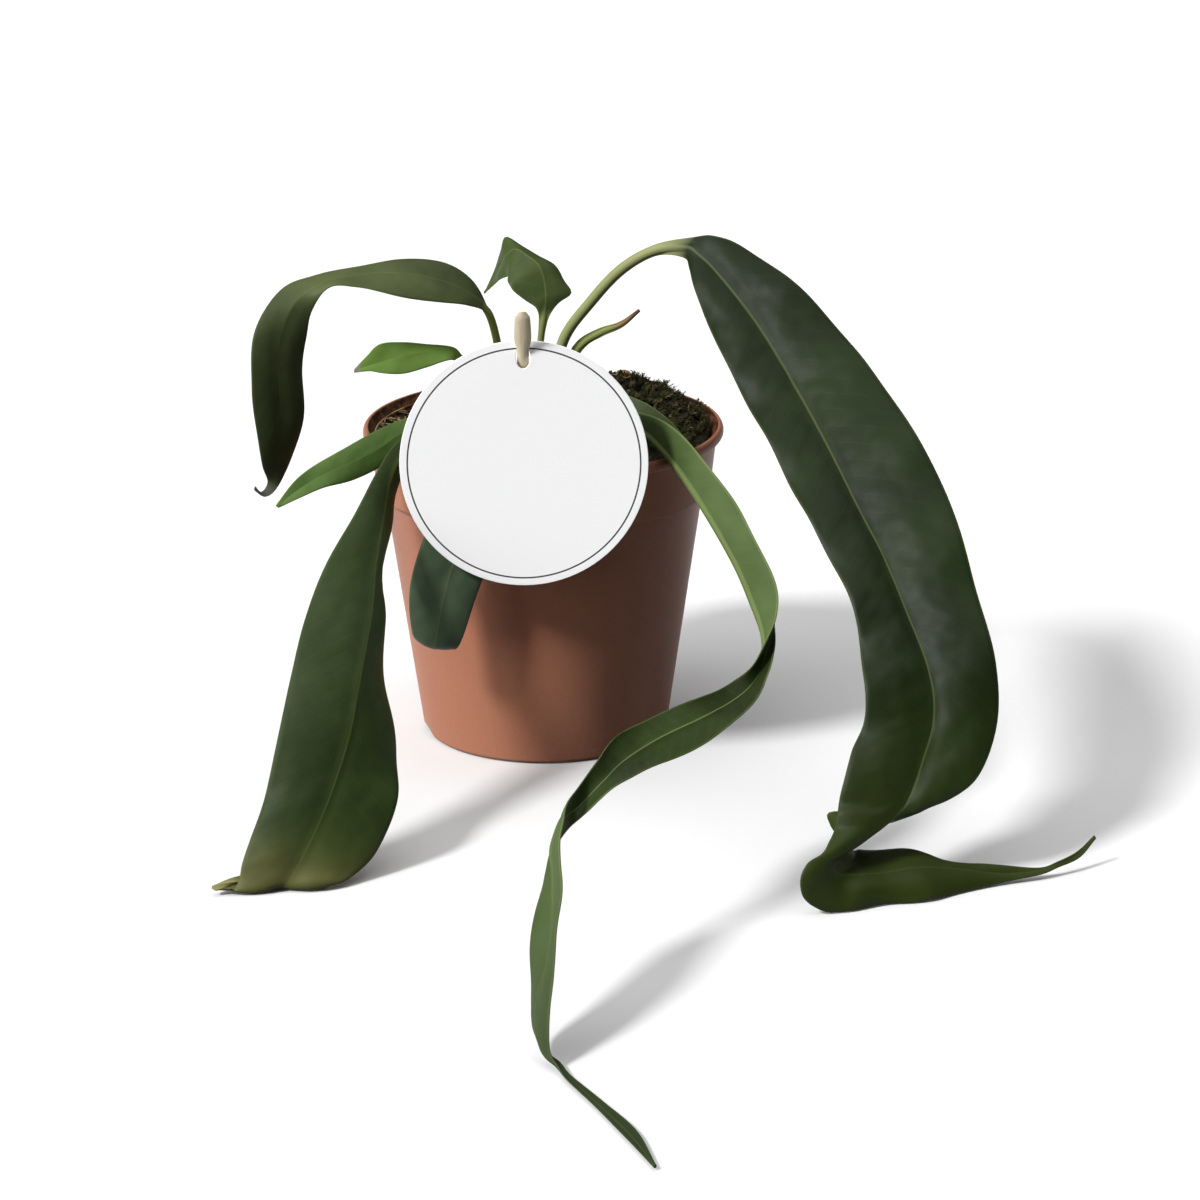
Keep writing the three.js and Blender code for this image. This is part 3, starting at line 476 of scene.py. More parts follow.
def tube_faces(rows, ring):
    """The faces of a closed body of rings of points, row after row, with one face on either end."""
    faces = []
    for row in range(rows - 1):
        for at in range(ring):
            here, beside = row * ring + at, row * ring + (at + 1) % ring
            faces.append([here, here + ring, beside + ring, beside])
    return faces + [list(range(ring)), [(rows - 1) * ring + at for at in range(ring)][::-1]]


def ball_shape(fineness):
    """The points and faces of a ball of radius 1."""
    shape = bmesh.new()
    bmesh.ops.create_icosphere(shape, subdivisions=fineness, radius=1)
    points = [vertex.co.copy() for vertex in shape.verts]
    faces = [[vertex.index for vertex in face.verts] for face in shape.faces]
    shape.free()
    return points, faces


class Heap:
    """Many small bodies gathered into one mesh, each with its own tone from 0 to 1."""

    def __init__(self):
        self.points = []
        self.faces = []
        self.tones = []

    def add(self, points, faces, tone):
        start = len(self.points)
        self.points += points
        self.faces += [[start + at for at in face] for face in faces]
        self.tones += [tone] * len(points)

    def lump(self, centre, size, flat, tone, ball):
        """A rough crumb: size is its mean radius and flat how low it is against its width."""
        seed = Vector((vary(0, 90), vary(0, 90), vary(0, 90)))
        turn = Vector((chance.gauss(0, 1), chance.gauss(0, 1), 1)).to_track_quat("Z", "Y")
        scale = Vector((vary(0.7, 1.4), vary(0.6, 1.1), flat))
        bumped = [point * (1 + 0.45 * noise.noise(point * 1.3 + seed)) * size for point in ball[0]]
        self.add([centre + turn @ (point * scale) for point in bumped], ball[1], tone)

    def tube(self, path, radii, tone, sides=5):
        """A tapering tube along a path of points, closed at both ends."""
        points = []
        for at, point in enumerate(path):
            run = (path[min(at + 1, len(path) - 1)] - path[max(at - 1, 0)]).normalized()
            side = run.orthogonal().normalized()
            other = side.cross(run)
            for spoke in range(sides):
                x, y = around(radii[at], 2 * math.pi * spoke / sides)
                points.append(point + side * x + other * y)
        self.add(points, tube_faces(len(path), sides), tone)

    def make(self, name, finish, smooth=40):
        return piece(name, self.points, self.faces, finish, (), smooth, {"tone": self.tones})


coarse_ball = ball_shape(1)
fine_ball = ball_shape(2)
crumbs = Heap()
for crumb in range(crumb_count):
    angle = vary(0, 2 * math.pi)
    x, y = around((edge - 1.5) * math.sqrt(chance.random()), angle)
    size = vary(*(fine_crumb if chance.random() < fine_share else coarse_crumb))
    centre = Vector((x, y, soil_surface(x, y) + 0.3 * size))
    crumbs.lump(centre, size, vary(0.4, 0.9), chance.random(), coarse_ball)

bark = material("bark_crumbs", {"Specular IOR Level": 0.3})
where = bark.place()
grain = bark.cloud(where, 700, 4, 0.6)
tone = bark.mix(bark.rise(bark.field("tone"), 0.1, 0.95), "#100C06", "#473720")
tone = bark.mix(bark.rise(bark.field("tone"), 0.93, 0.97), tone, "#A08A66")
tone = bark.mix(0.5 * grain, tone, "#1A120C")
bark.finish({"Base Color": tone, "Roughness": 0.9 - 0.2 * grain, "Normal": bark.relief(grain, 0.0003)})
crumbs.make("mix_crumbs", bark.owner)

roots = Heap()
for root in range(root_count + wall_root_count):
    on_wall = root >= root_count
    angle = math.radians(vary(95, 265))
    radius = edge - vary(0.8, 9)
    height = vary(99, wall_root_top)
    turn = chance.choice((-1, 1)) * vary(0.4, 1)
    lift = vary(0.2, 2.4)
    path = []
    for step in range(root_steps):
        x, y = around(radius, angle)
        arch = math.sin(math.pi * step / (root_steps - 1))
        surface = soil_surface(x, y) + 0.3 + lift * arch
        if on_wall:
            height = min(wall_root_top, max(surface, height + vary(-0.6, 0.5)))
            radius = inside_radius(height) - 0.45
        else:
            height = min(root_top, surface)
            radius = min(edge - 0.7, radius + vary(-0.8, 0.8))
        path.append(Vector((x, y, height)))
        angle += turn * root_stride
    thick = vary(0.16, 0.42)
    shares = [step / (root_steps - 1) for step in range(root_steps)]
    radii = [thick * (0.35 + 0.65 * math.sin(math.pi * (0.12 + 0.8 * share))) for share in shares]
    roots.tube(path, radii, chance.random(), 6)

straw = material("dry_roots", {"Roughness": 0.75, "Specular IOR Level": 0.3})
tone = straw.mix(straw.field("tone"), "#4E3C26", "#A88C62")
fibre = straw.cloud(straw.place(), 500, 3, 0.6)
straw.finish({
    "Base Color": straw.mix(0.4 * fibre, tone, "#3A2916"),
    "Normal": straw.relief(fibre, 0.0002),
})
roots.make("mix_roots", straw.owner)


# Crown
# The short woody stem that every stalk grows round, ringed by the scars of old leaves. It stands in the
# mix behind the card.
crown_place = (-3, 3)
crown_radius = 4.2
crown_top = 106
stalk_foot = 86
crown_profile = [
    (0, stalk_foot),
    (crown_radius, stalk_foot),
    (crown_radius, soil_top),
    (crown_radius * 0.9, soil_top + 2),
    (crown_radius * 1.02, soil_top + 2.8),
    (crown_radius * 0.86, soil_top + 4.4),
    (crown_radius * 0.95, soil_top + 5),
    (crown_radius * 0.7, crown_top - 1.6),
    (crown_radius * 0.5, crown_top - 0.7),
    (0, crown_top),
]
stem = material("crown_bark", {"Roughness": 0.85})
grain = stem.cloud(stem.place(), 350, 4, 0.6)
stem.finish({
    "Base Color": stem.mix(grain, "#3A2E1C", "#8A7A4E"),
    "Normal": stem.relief(grain, 0.0005),
})
points, faces = turned(softened(crown_profile, 0.4), 40, crown_place)
piece("crown_stem", points, faces, stem.owner, ["crown"], 60)


# Leaves
# Leathery straps, each grown in one piece with its round stalk, which stands in the mix. The rib stands out
# below and as a thin pale line above, side veins run from it towards the tip, and the margins ripple.
row_pitch = 1.5
place_steps = 12
leaf_edge = 0.5
surface_gap = 0.05
blade_onset = 10
rib_columns = (0, 0.22, 0.45, 0.7, 0.88)
blade_columns = 13
ripple_length = 34
dimple_length = 8
vein_lean = 0.75


def curve_point(points, place):
    """A point of the smooth curve through the points: place 1.5 lies halfway between points 1 and 2."""
    span = min(int(place), len(points) - 2)
    here, there = points[span], points[span + 1]
    before = points[span - 1] if span > 0 else 2 * here - there
    after = points[span + 2] if span + 2 < len(points) else 2 * there - here
    t = place - span
    bend = (2 * before - 5 * here + 4 * there - after) * t**2
    return 0.5 * (2 * here + (there - before) * t + bend + (3 * here - before - 3 * there + after) * t**3)


def leaf_lines(stations):
    """The ribs, left halves, right halves and radii of a leaf from its stations, with its foot added.

    Each station gives a point on the rib, how thick the rib or stalk is there, and the left and right
    margins as offsets from that point, seen on the upper face with the tip down. Where the right one is
    left out, it lies opposite the left one.
    """
    (x, y, _), *rest = stations[0]
    ribs, lefts, rights, radii = [], [], [], []
    for rib, thick, left, *right in [((x, y, stalk_foot), *rest), *stations]:
        ribs.append(Vector(rib))
        lefts.append(Vector(left))
        rights.append(Vector(*right) if right else -Vector(left))
        radii.append(thick / 2)
    return ribs, lefts, rights, radii


def line_point(lines, place):
    """The rib, the two halves and the rib's radius of a leaf at a place between its stations."""
    ribs, lefts, rights, radii = lines
    span = min(int(place), len(radii) - 2)
    radius = radii[span] + (radii[span + 1] - radii[span]) * (place - span)
    return curve_point(ribs, place), curve_point(lefts, place), curve_point(rights, place), radius


def row_places(lines, pitch):
    """Places spaced evenly along whichever of the rib and the two margins moves the most."""
    places, lengths, before = [], [], None
    for at in range((len(lines[0]) - 1) * place_steps + 1):
        rib, left, right, _ = line_point(lines, at / place_steps)
        now = (rib, rib + left, rib + right)
        step = max((a - b).length for a, b in zip(now, before)) if before else 0
        places.append(at / place_steps)
        lengths.append((lengths[-1] if lengths else 0) + step)
        before = now
    rows = round(lengths[-1] / pitch)
    wanted = []
    index = 1
    for row in range(rows + 1):
        length = lengths[-1] * row / rows
        while lengths[index] < length - 1e-6:
            index += 1
        share = (length - lengths[index - 1]) / (lengths[index] - lengths[index - 1])
        wanted.append(places[index - 1] + share * (places[index] - places[index - 1]))
    return wanted


def clamp(value, low, high):
    return max(low, min(high, value))


def leaf(name, node, stations, finish, bulge=0, ripple=0, quilt=0, vein_pitch=6, dimple=0.2):
    """One closed leaf, stalk and blade together, with its distances in millimetres as fields.

    bulge lifts the middle of each half, ripple waves the margins, quilt lifts the skin between side veins
    that stand vein_pitch apart, and dimple makes it uneven. All fade out where the blade narrows.
    """
    lines = leaf_lines(stations)
    rows = []
    for place in row_places(lines, row_pitch):
        rib, left, right, radius = line_point(lines, place)
        rib_share = clamp(max(radius, 1.2) / min(left.length, right.length), 0.12, 0.5)
        blade_shares = [column / blade_columns for column in range(blade_columns + 1)]
        shares = [rib_share * share for share in rib_columns]
        shares += [rib_share + (1 - rib_share) * share for share in blade_shares]
        line = [(left, -share) for share in shares[:0:-1]] + [(right, share) for share in shares]
        middles = [rib + half * abs(share) for half, share in line]
        rows.append((rib, left, right, radius, line, middles))
    last = len(rows) - 1
    count = len(rows[0][4])
    ring = 2 * count + 2
    spread = 0
    runs = [0]
    for row in range(1, last + 1):
        runs.append(runs[-1] + (rows[row][0] - rows[row - 1][0]).length)

    points = []
    fields = {"across": [], "margin": [], "along": [], "upper": [], "blade": [], "to_tip": []}
    for row, (rib, left, right, radius, line, middles) in enumerate(rows):
        run = runs[row]
        width = (left.length + right.length) / 2
        bladed = clamp((width - 2 * radius) / blade_onset, 0, 1)
        before, after = rows[max(row - 2, 0)][5], rows[min(row + 2, last)][5]
        above_line, below_line, sheet = [], [], []
        for column, (half, signed) in enumerate(line):
            share = abs(signed)
            reach = share * half.length
            down = after[column] - before[column]
            sideways = middles[min(column + 1, count - 1)] - middles[max(column - 1, 0)]
            normal = down.cross(sideways).normalized()
            round_part = math.sqrt(max(0, radius**2 - reach**2))
            side = 1 if signed > 0 else -1
            phase = 2 * math.pi * run / ripple_length + side
            swell = 4 * bulge * share * (1 - share) + ripple * share**2 * math.sin(phase)
            drift = 2.2 * noise.noise(Vector((run, side * reach, 5)) / 16)
            vein = abs(math.sin(math.pi * (run - vein_lean * reach + drift) / vein_pitch)) ** 0.7 - 0.5
            hollow = noise.fractal(Vector((run, side * reach, 9)) / dimple_length, 0.8, 2, 2)
            swell += (quilt * vein + dimple * hollow) * math.sqrt(max(0, 4 * share * (1 - share)))
            groove = 0.1 * math.exp(-(((reach - 2.1) / 1.1) ** 2)) - 0.14 * math.exp(-((reach / 0.6) ** 2))
            above = max(leaf_edge / 2, round_part * min(1, radius / width)) - bladed * groove
            below = ((leaf_edge / 2) ** 3 + round_part**3) ** (1 / 3)
            middle = middles[column] + normal * bladed * swell
            middle.z = max(middle.z, below + surface_gap)
            above_line.append(middle + normal * above)
            below_line.append(middle - normal * below)
            sheet.append(middle)
        right_edge = sheet[-1] + (sheet[-1] - sheet[-2]).normalized() * leaf_edge * 0.4
        left_edge = sheet[0] + (sheet[0] - sheet[1]).normalized() * leaf_edge * 0.4
        points += above_line + [right_edge] + below_line[::-1] + [left_edge]
        reaches = [share * half.length for half, share in line]
        margins = [(1 - abs(share)) * half.length for half, share in line]
        fields["across"] += reaches + [reaches[-1]] + reaches[::-1] + [reaches[0]]
        fields["margin"] += margins + [0] + margins[::-1] + [0]
        fields["upper"] += [1] * count + [0.5] + [0] * count + [0.5]
        fields["along"] += [run] * ring
        spread = max(spread, clamp((width / radius - 1.15) / 1.2, 0, 1))
        fields["blade"] += [spread] * ring
        fields["to_tip"] += [runs[-1] - run] * ring
    return piece(name, points, tube_faces(len(rows), ring), finish, [node], 75, fields)


def leaf_finish(name, dark, light, under, rib, stalk, wrinkle, roughness=0.4, dry="#6B6350", dry_reach=0,
                fade=0, fade_tone="#66653A", painted_left_shade=0, vein_pitch=6):
    """Waxy green above and duller below, with a pale rib, fainter side veins and a fine net of cells."""
    green = material(name, {"Specular IOR Level": 0.14})
    where = green.place()
    across, along, upper = green.field("across"), green.field("along"), green.field("upper")
    aside = abs(across)
    blade = green.field("blade")
    patch = green.cloud(where, 22, 3, 0.55)
    speck = green.cloud(where, 260, 3, 0.6)
    drift = 2.4 * green.cloud(green.vector(across, along, 0), 0.06, 1)
    vein_place = (along - vein_lean * aside + drift) / vein_pitch
    wave = abs(green.node("ShaderNodeMath", {"operation": "SINE"}, {0: vein_place * math.pi}))
    vein = green.rise(wave, 0.30, 0.02) * green.rise(aside, 1, 4)
    creases = green.cloud(green.vector(aside * 0.16, (along - vein_lean * aside) * 0.14, 0), 1, 2, 0.45)
    cells = green.node(
        "ShaderNodeTexVoronoi", {"feature": "DISTANCE_TO_EDGE"}, {"Vector": where, "Scale": 520}, "Distance"
    )
    net = green.rise(cells, 0.0, 0.16)
    rib_width = 0.08 + 0.22 * green.rise(green.field("to_tip"), 20, 300)
    rib_line = green.rise(aside, rib_width + 0.25, rib_width)
    under_rib = green.rise(aside, rib_width + 1.4, rib_width + 0.6)
    edge_line = green.rise(green.field("margin"), 0.55, 0.15)

    top = green.mix(green.rise(patch, 0.35, 0.65), dark, light)
    top = green.mix(0.20 * speck, top, "#101A0C")
    # Painted shade: the left half of the upper face is darkened.
    top = green.mix(painted_left_shade * green.rise(across, 1.5, -1.5), top, "#0C1206")
    top = green.mix(0.05 * vein, top, under)
    top = green.mix(0.2 * rib_line, top, rib)
    bottom = green.mix(green.rise(patch, 0.3, 0.7), under, light)
    bottom = green.mix(0.35, bottom, under)
    bottom = green.mix(0.03 * vein, bottom, stalk)
    bottom = green.mix(0.3 * under_rib, bottom, stalk)
    skin = green.mix(upper, bottom, top)
    skin = green.mix(0.1 * edge_line, skin, rib)
    # Towards the tip the skin turns to fade_tone; on the arching leaf and the trough leaf this is painted
    # shade.
    if fade:
        faded = green.rise(green.field("to_tip") + 30 * patch, fade, fade * 0.45)
        skin = green.mix(0.75 * faded, skin, fade_tone)
    stem_tone = green.mix(green.rise(patch, 0.3, 0.7), stalk, rib)
    skin = green.mix(blade, stem_tone, skin)
    if dry_reach:
        ended = green.rise(green.field("to_tip") + 3 * speck, dry_reach, dry_reach * 0.5)
        skin = green.mix(ended, skin, dry)
    height = 0.06 * net + 0.15 * (1 - vein) + wrinkle * creases
    return green.finish({
        "Base Color": skin,
        "Roughness": roughness + 0.12 * speck + 0.12 * (1 - upper),
        "Normal": green.relief(height, 0.00006),
    })


# The widest leaf, at the right: an arched stalk, a long hanging blade, and a tip that turns up off the
# surface and lies along it.
big_right = [
    ((5, 4, 99), 3.6, (1.7, 0, 0)),
    ((4, 2, 117), 3.4, (1.6, 0, 0)),
    ((7, 0, 134), 3.3, (1.5, 0, -0.6)),
    ((16, -3, 147.5), 3.2, (1.2, 0, -1.1)),
    ((26, -6, 159), 3.2, (0.9, 0, -1.4)),
    ((37, -9, 166), 3.2, (0.3, 0, -1.7)),
    ((47, -14, 168), 3.2, (-1, -1, -3), (2, 1, 3)),
    ((50.8, -17.6, 166.2), 3.2, (-3, -2.2, -4), (5.2, 1.6, 5.8)),
    ((57, -24, 161), 3.2, (-7.3, -4, -5.2), (9, 3, 8)),
    ((69, -40, 148), 3, (-12.2, -5, -7), (16, 4, 9)),
    ((80, -57, 132), 3, (-14, -6, -6), (20, 4, 10)),
    ((89, -76, 118), 3, (-14, -7, -6), (22, 3, 12)),
    ((97, -94, 104), 2.8, (-14, -7, -5), (24, 3, 11)),
    ((104, -108, 92), 2.8, (-14, -7, -3), (23, 2, 9)),
    ((110, -121, 79), 2.6, (-15, -6, -4), (21, 1, 7)),
    ((116, -134, 64), 2.6, (-20, -4, -1), (20, 0, 3)),
    ((117, -142, 52), 2.4, (-21, -2, 0), (19, -1, -2)),
    ((113, -149, 40), 2.4, (-21, 0, 4), (16, -1, -5)),
    ((108.6, -154, 30), 2.2, (-20, 0, 4), (8.5, 0, -2)),
    ((105.7, -156, 27), 2, (-18, 0, 3), (4.6, 6, -3.4)),
    ((102.6, -158, 24.7), 2, (-15.4, -1, 2.8), (-3.5, 9, -2.5)),
    ((98.3, -160, 22), 1.8, (-11.8, -1, 2.1), (-12.5, 9, 3.5)),
    ((93.7, -162, 19.3), 1.8, (-9, -2, 2), (-9, 10, 2)),
    ((89.6, -164, 17.3), 1.6, (-7.4, -3, 1.3), (-1.5, 11, -0.5)),
    ((86.6, -165, 15), 1.6, (-9, -3, 1.3), (5.4, 11, -1.3)),
    ((85.4, -166, 13.3), 1.6, (-10.4, -4, -1.8), (8, 13, 0.4)),
    ((87, -165, 11), 1.6, (-10.4, -5, -6), (8, 14, 2.3)),
    ((90.4, -163, 9.7), 1.6, (-6.6, -6, -9.4), (6.8, 14, 3)),
    ((95, -161, 9), 1.6, (-2.5, -7, -8.7), (6.3, 14, 2.6)),
    ((101.7, -158, 8.2), 1.6, (0.5, -6, -8), (5.7, 13, 1.8)),
    ((112, -155, 8.5), 1.6, (1.7, -6, -8), (4.5, 9, 0)),
    ((123, -151, 6.4), 1.4, (0.2, -5, -6), (2.7, 5, 0.2)),
    ((138, -147, 3), 1.2, (0, -2, -2), (0.8, 2, 1.8)),
    ((150.5, -144, 2.5), 1.1, (0, -1, -0.7), (0, 1, 0.6)),
    ((156.2, -142, 3.6), 1, (0, -0.5, -0.5), (0, 0.5, 0.8)),
    ((163, -138, 5.2), 1, (0.3, -0.5, -0.5), (-0.3, 0.5, 0.8)),
    ((168.5, -134, 9.5), 0.9, (0.2, -0.2, -0.3)),
]
leaf_skin = leaf_finish(
    "leaf_big_skin", "#121C06", "#192809", "#374416", "#808B58", "#888B5E", wrinkle=0.9, roughness=0.44,
    vein_pitch=7, fade=190, fade_tone="#313B12",
)
leaf("leaf_big", "leaf_big_right", big_right, leaf_skin, 1.6, 1.2, 0.1, 7, 0.45)

# The long trough-shaped leaf that leaves over the right front of the rim, twists, and reaches the surface
# in front of the pot.
ribbon = [
    ((1, -4, 98), 3.6, (-1, -1, 0)),
    ((4, -8, 108), 3.4, (-1, -1, 0.3), (1, 1, 0)),
    ((14, -19, 114), 3.2, (-1, -2, 2), (1, 2, 2)),
    ((27, -33, 115), 2.8, (0, -4, 5), (0, 6, 7)),
    ((37, -47, 111), 2.6, (3, -5, 8), (5, 9, 4)),
    ((48, -66, 100), 2.4, (6, -5, 8), (6, 9, 2)),
    ((59, -86, 85), 2.2, (5.6, -4, 9.7), (5.8, 9, 3.4)),
    ((64.8, -101, 74.3), 2.2, (6, -4, 9), (6.4, 8, 2.5)),
    ((67.4, -111, 67.6), 2, (3.4, -4, 7.8), (3.7, 6, 1.2)),
    ((66.6, -120, 63), 2, (0.4, -2, 6), (3.8, 3, 3)),
    ((63, -130, 59.3), 2, (-0.8, 2, 4), (4.5, -1, 3.2)),
    ((57, -141, 58), 2, (-1.6, 7, 2.4), (4.8, -8, 1.6)),
    ((47, -156, 58), 2, (-1.4, 9, 2.6), (3.4, -10, -2.2)),
    ((33.4, -171, 57), 2, (-2, 10, 3), (3.5, -11, -2.3)),
    ((22.5, -187, 56), 2, (-2.2, 9, 4), (3.6, -8.6, -0.6)),
    ((16.2, -199, 54.3), 1.8, (-1.6, 5, 4.4), (3, -5, 0.3)),
    ((9.5, -207, 50.4), 1.8, (-0.4, 1, 5), (2, -3, -1)),
    ((4.9, -214, 49.3), 1.8, (0.6, -3, 5.2), (1.6, 1.5, -3.4)),
    ((2.5, -221, 46.6), 1.8, (2, -4.5, 5.8), (0.2, 4.3, -4.8)),
    ((1.4, -226, 43.5), 1.8, (2.4, -5.2, 6.5), (-1, 5.2, -6.2)),
    ((2, -232, 39.6), 1.6, (1.8, -5.8, 6.7), (-3.5, 5.6, -6.1)),
    ((2, -240, 34.3), 1.6, (1.8, -5.8, 6.7), (-5.5, 5, -5.1)),
    ((1.7, -248.5, 27.4), 1.6, (0.8, -6, 7), (-6.4, 4.6, -4.4)),
    ((-0.3, -255.5, 20.9), 1.6, (2.4, -5.6, 6.4), (-4.4, 5.2, -5.3)),
    ((-2.2, -260, 16.4), 1.4, (3.6, -5.2, 5.9), (-2.7, 5.6, -5.8)),
    ((-3.2, -264.5, 11.5), 1.4, (3.4, -5, 5), (-1.3, 5.6, -5.1)),
    ((-2.8, -268.5, 7.1), 1.4, (2.6, -4.6, 3.5), (-0.2, 5.2, -3.2)),
    ((-1.1, -272, 3.3), 1.3, (1.4, -3.2, 1.8), (0.2, 4, -1.2)),
    ((2.4, -276.4, 1.7), 1.2, (0.2, -1.8, 0.6), (0.6, 2.4, 0)),
    ((5.2, -283, 1.2), 1.1, (-0.4, -1.2, 0.3), (0.8, 1.4, 0)),
    ((13, -299, 1), 1.1, (-0.8, -0.8, 0), (1.2, 1.6, 0.3)),
    ((21, -317, 1), 1, (-1.2, -1, 0), (1.7, 1.7, 0.4)),
    ((27, -335, 1), 0.9, (-0.3, -0.2, 0)),
]
# The lower end is darkened towards fade_tone: painted shade.
leaf_skin = leaf_finish(
    "leaf_ribbon_skin", "#232C11", "#2F3F19", "#55673D", "#B4C27C", "#7B874B", wrinkle=0.5, roughness=0.42,
    fade=175, fade_tone="#28331B",
)
leaf("leaf_trough", "leaf_ribbon", ribbon, leaf_skin, -0.8, 0.4, 0.12)

# The broad leaf at the left front, which hangs to the surface and folds under at its pale end.
hanging_left = [
    ((-7, -3, 98), 3.6, (-1, 1, 0)),
    ((-12, -8, 107), 3.4, (-1, 1, 0)),
    ((-24, -22, 111), 3.2, (-1, 1, 0.5), (1, -1, 0)),
    ((-36, -35, 111), 3, (-2, 2, 1), (2, -2, 0)),
    ((-45, -45, 108), 2.8, (-2, 3, 3), (2, -1, -2)),
    ((-49, -55, 102), 2.8, (-4, 1, 3), (2, 4, -4)),
    ((-51, -69, 93), 2.6, (-8, -2, 4), (2, 9, -4)),
    ((-53, -85, 82), 2.6, (-15, -3, 3), (1, 13, -4)),
    ((-54, -98, 71), 2.4, (-20, -3, 1), (3, 15, -5)),
    ((-57, -113, 57), 2.4, (-21, -3, 1), (7, 15, -9)),
    ((-60.6, -126, 41), 2.2, (-21, -2, 2), (14, 13, -9)),
    ((-66.2, -137, 26), 2, (-19.4, -1, 0.6), (20.3, 10, -4)),
    ((-72, -143, 14), 1.8, (-18, 0, 0.8), (20, 6, -5.3)),
    ((-76.3, -146, 6.8), 1.6, (-16, -1, 2), (18, 3, -3)),
    ((-78.8, -148, 3), 1.4, (-14.4, -1, 1.6), (14.4, 1, -1.4)),
    ((-82, -147.5, 1.6), 1.2, (-13, -3.5, 0), (14, 3, -0.4)),
    ((-86.7, -146, 1.8), 1.1, (-10.4, -4.6, 0), (9.7, 7, 0)),
    ((-92, -146, 2.2), 1, (-7, -4.6, -0.3), (4.7, 7, 0.4)),
    ((-96.5, -148, 2.6), 1, (-3.8, -3.2, -0.6), (1.6, 3.8, 0.6)),
    ((-101.6, -150, 2.4), 0.9, (-0.1, -0.6, 0)),
]
# Its left half gets painted shade on the upper face.
leaf_skin = leaf_finish(
    "leaf_hanging_skin", "#2B3A18", "#36471F", "#505E29", "#728143", "#7B874B", wrinkle=0.6, roughness=0.46,
    fade=64, painted_left_shade=0.3, dry="#8C8A5C", dry_reach=12,
)
leaf("leaf_hanging", "leaf_hanging_left", hanging_left, leaf_skin, 1.4, 0.6, 0.08, 6, 0.3)

# The leaf that arches over to the left and hangs down in a dry hooked tip.
arch_left = [
    ((-10, 7, 99), 2.8, (0.5, 1.2, 0)),
    ((-13, 4, 117), 2.7, (0.3, 1.3, 0)),
    ((-15, 1, 133), 2.6, (0, 1.3, 0)),
    ((-18, -1, 144), 2.6, (0, 1.3, 0.5)),
    ((-24, -4, 151), 2.4, (1, 5, 3), (0, -5, -3)),
    ((-33, -8, 156), 2.2, (1, 8, 4), (0, -8, -5)),
    ((-46, -14, 160), 2.2, (0, 8, 3), (0, -10, -5)),
    ((-59, -20, 161), 2, (-1, 7, 1), (0, -8, -2)),
    ((-70, -26, 160), 2, (-3, 6, 1), (2, -5, 0)),
    ((-79, -31, 155), 2, (-5, 4, 3), (5, 1, -3)),
    ((-84, -36, 145), 1.8, (-8, -2, 1.4), (8, 5, -1.6)),
    ((-85, -40, 132), 1.8, (-7.6, -6, -1.2), (7.6, 7, 1)),
    ((-84, -43, 118), 1.6, (-7.2, -6, -1.4), (6.6, 7, 0.4)),
    ((-85, -45, 107), 1.4, (-5, -4, -0.8), (4, 5, -0.6)),
    ((-87, -47, 99), 1.2, (-1.5, 0, 0.8), (1.5, 0.2, -0.8)),
    ((-90, -48.5, 96), 1, (-0.5, 0, 0.7)),
    ((-92.6, -50, 98.6), 0.9, (0.2, 0, 0.5)),
]
# The descending end is darkened towards fade_tone: painted shade.
leaf_skin = leaf_finish(
    "leaf_arch_skin", "#3A432A", "#56603B", "#5A6D36", "#727E44", "#818344", wrinkle=0.7, roughness=0.45,
    fade=115, fade_tone="#1C240E", dry="#5E5D55", dry_reach=12,
)
leaf("leaf_arch", "leaf_arch_left", arch_left, leaf_skin, 0.8, 0.3, 0.12, 5)

# Two young bright leaves at the left: one over the rim, and a shorter one above it with a dry end.
small_left = [
    ((-12, 1, 98), 2.8, (-1, 1, 0)),
    ((-17, -4, 109), 2.6, (-1, 1, 0)),
    ((-30, -18, 114), 2.4, (-1, 2, 1)),
    ((-45.2, -32, 111.8), 2, (-0.1, 5, 2.9), (-0.7, -3.5, -4.4)),
    ((-52.6, -41, 109.2), 1.8, (-1, 5, 4.2), (1, -2.2, -5.2)),
    ((-61.8, -51, 107), 1.6, (-1.3, 4, 4), (1, -3, -4.6)),
    ((-70.9, -61, 105.4), 1.4, (-1.4, 3, 3.1), (1.3, -3, -2.6)),
    ((-78, -68, 102.8), 1.2, (-0.6, 1.5, 2.8), (1.2, -1.5, -1.5)),
    ((-84, -72, 99), 0.9, (-0.3, 0, 0.3)),
]
leaf_skin = leaf_finish(
    "leaf_small_skin", "#49632E", "#5C773C", "#647A3C", "#768D47", "#6A7A3B", wrinkle=1.2, roughness=0.42,
    vein_pitch=4.5,
)
leaf("leaf_small", "leaf_small_left", small_left, leaf_skin, 0.6, 0.5, 0.15, 4.5, 0.4)

upper_left = [
    ((-2, -8, 98), 2.4, (0.4, 1, 0)),
    ((-6, -8, 114), 2.4, (0.4, 1, 0)),
    ((-15, -7, 124), 2.2, (0.6, 1, -0.3)),
    ((-25.9, -6.4, 128.6), 2, (0.5, 1.2, 0.6)),
    ((-29.8, -8.6, 132), 1.8, (0.2, 3.4, 1), (-0.4, -3.2, -1.4)),
    ((-38, -13, 133.4), 1.6, (-1, 4, 1.8), (0, -4, -4)),
    ((-45, -18, 133.6), 1.5, (-1, 4, 3.3), (0, -4, -4.8)),
    ((-52, -22, 132.6), 1.3, (-1, 3, 5), (1, -3, -2.8)),
    ((-57, -25, 131.8), 1.1, (0, 2, 3), (1, -1, -1)),
    ((-61, -27, 131), 0.9, (0, 0.2, 0.4)),
]
leaf_skin = leaf_finish(
    "leaf_upper_skin", "#5B7833", "#6F8F41", "#6C8A44", "#768D47", "#6A7A3B", wrinkle=1.4, roughness=0.42,
    dry="#8B8A80", dry_reach=4, vein_pitch=4.5,
)
leaf("leaf_upper", "leaf_upper_left", upper_left, leaf_skin, 0.6, 0.6, 0.15, 4.5, 0.5)

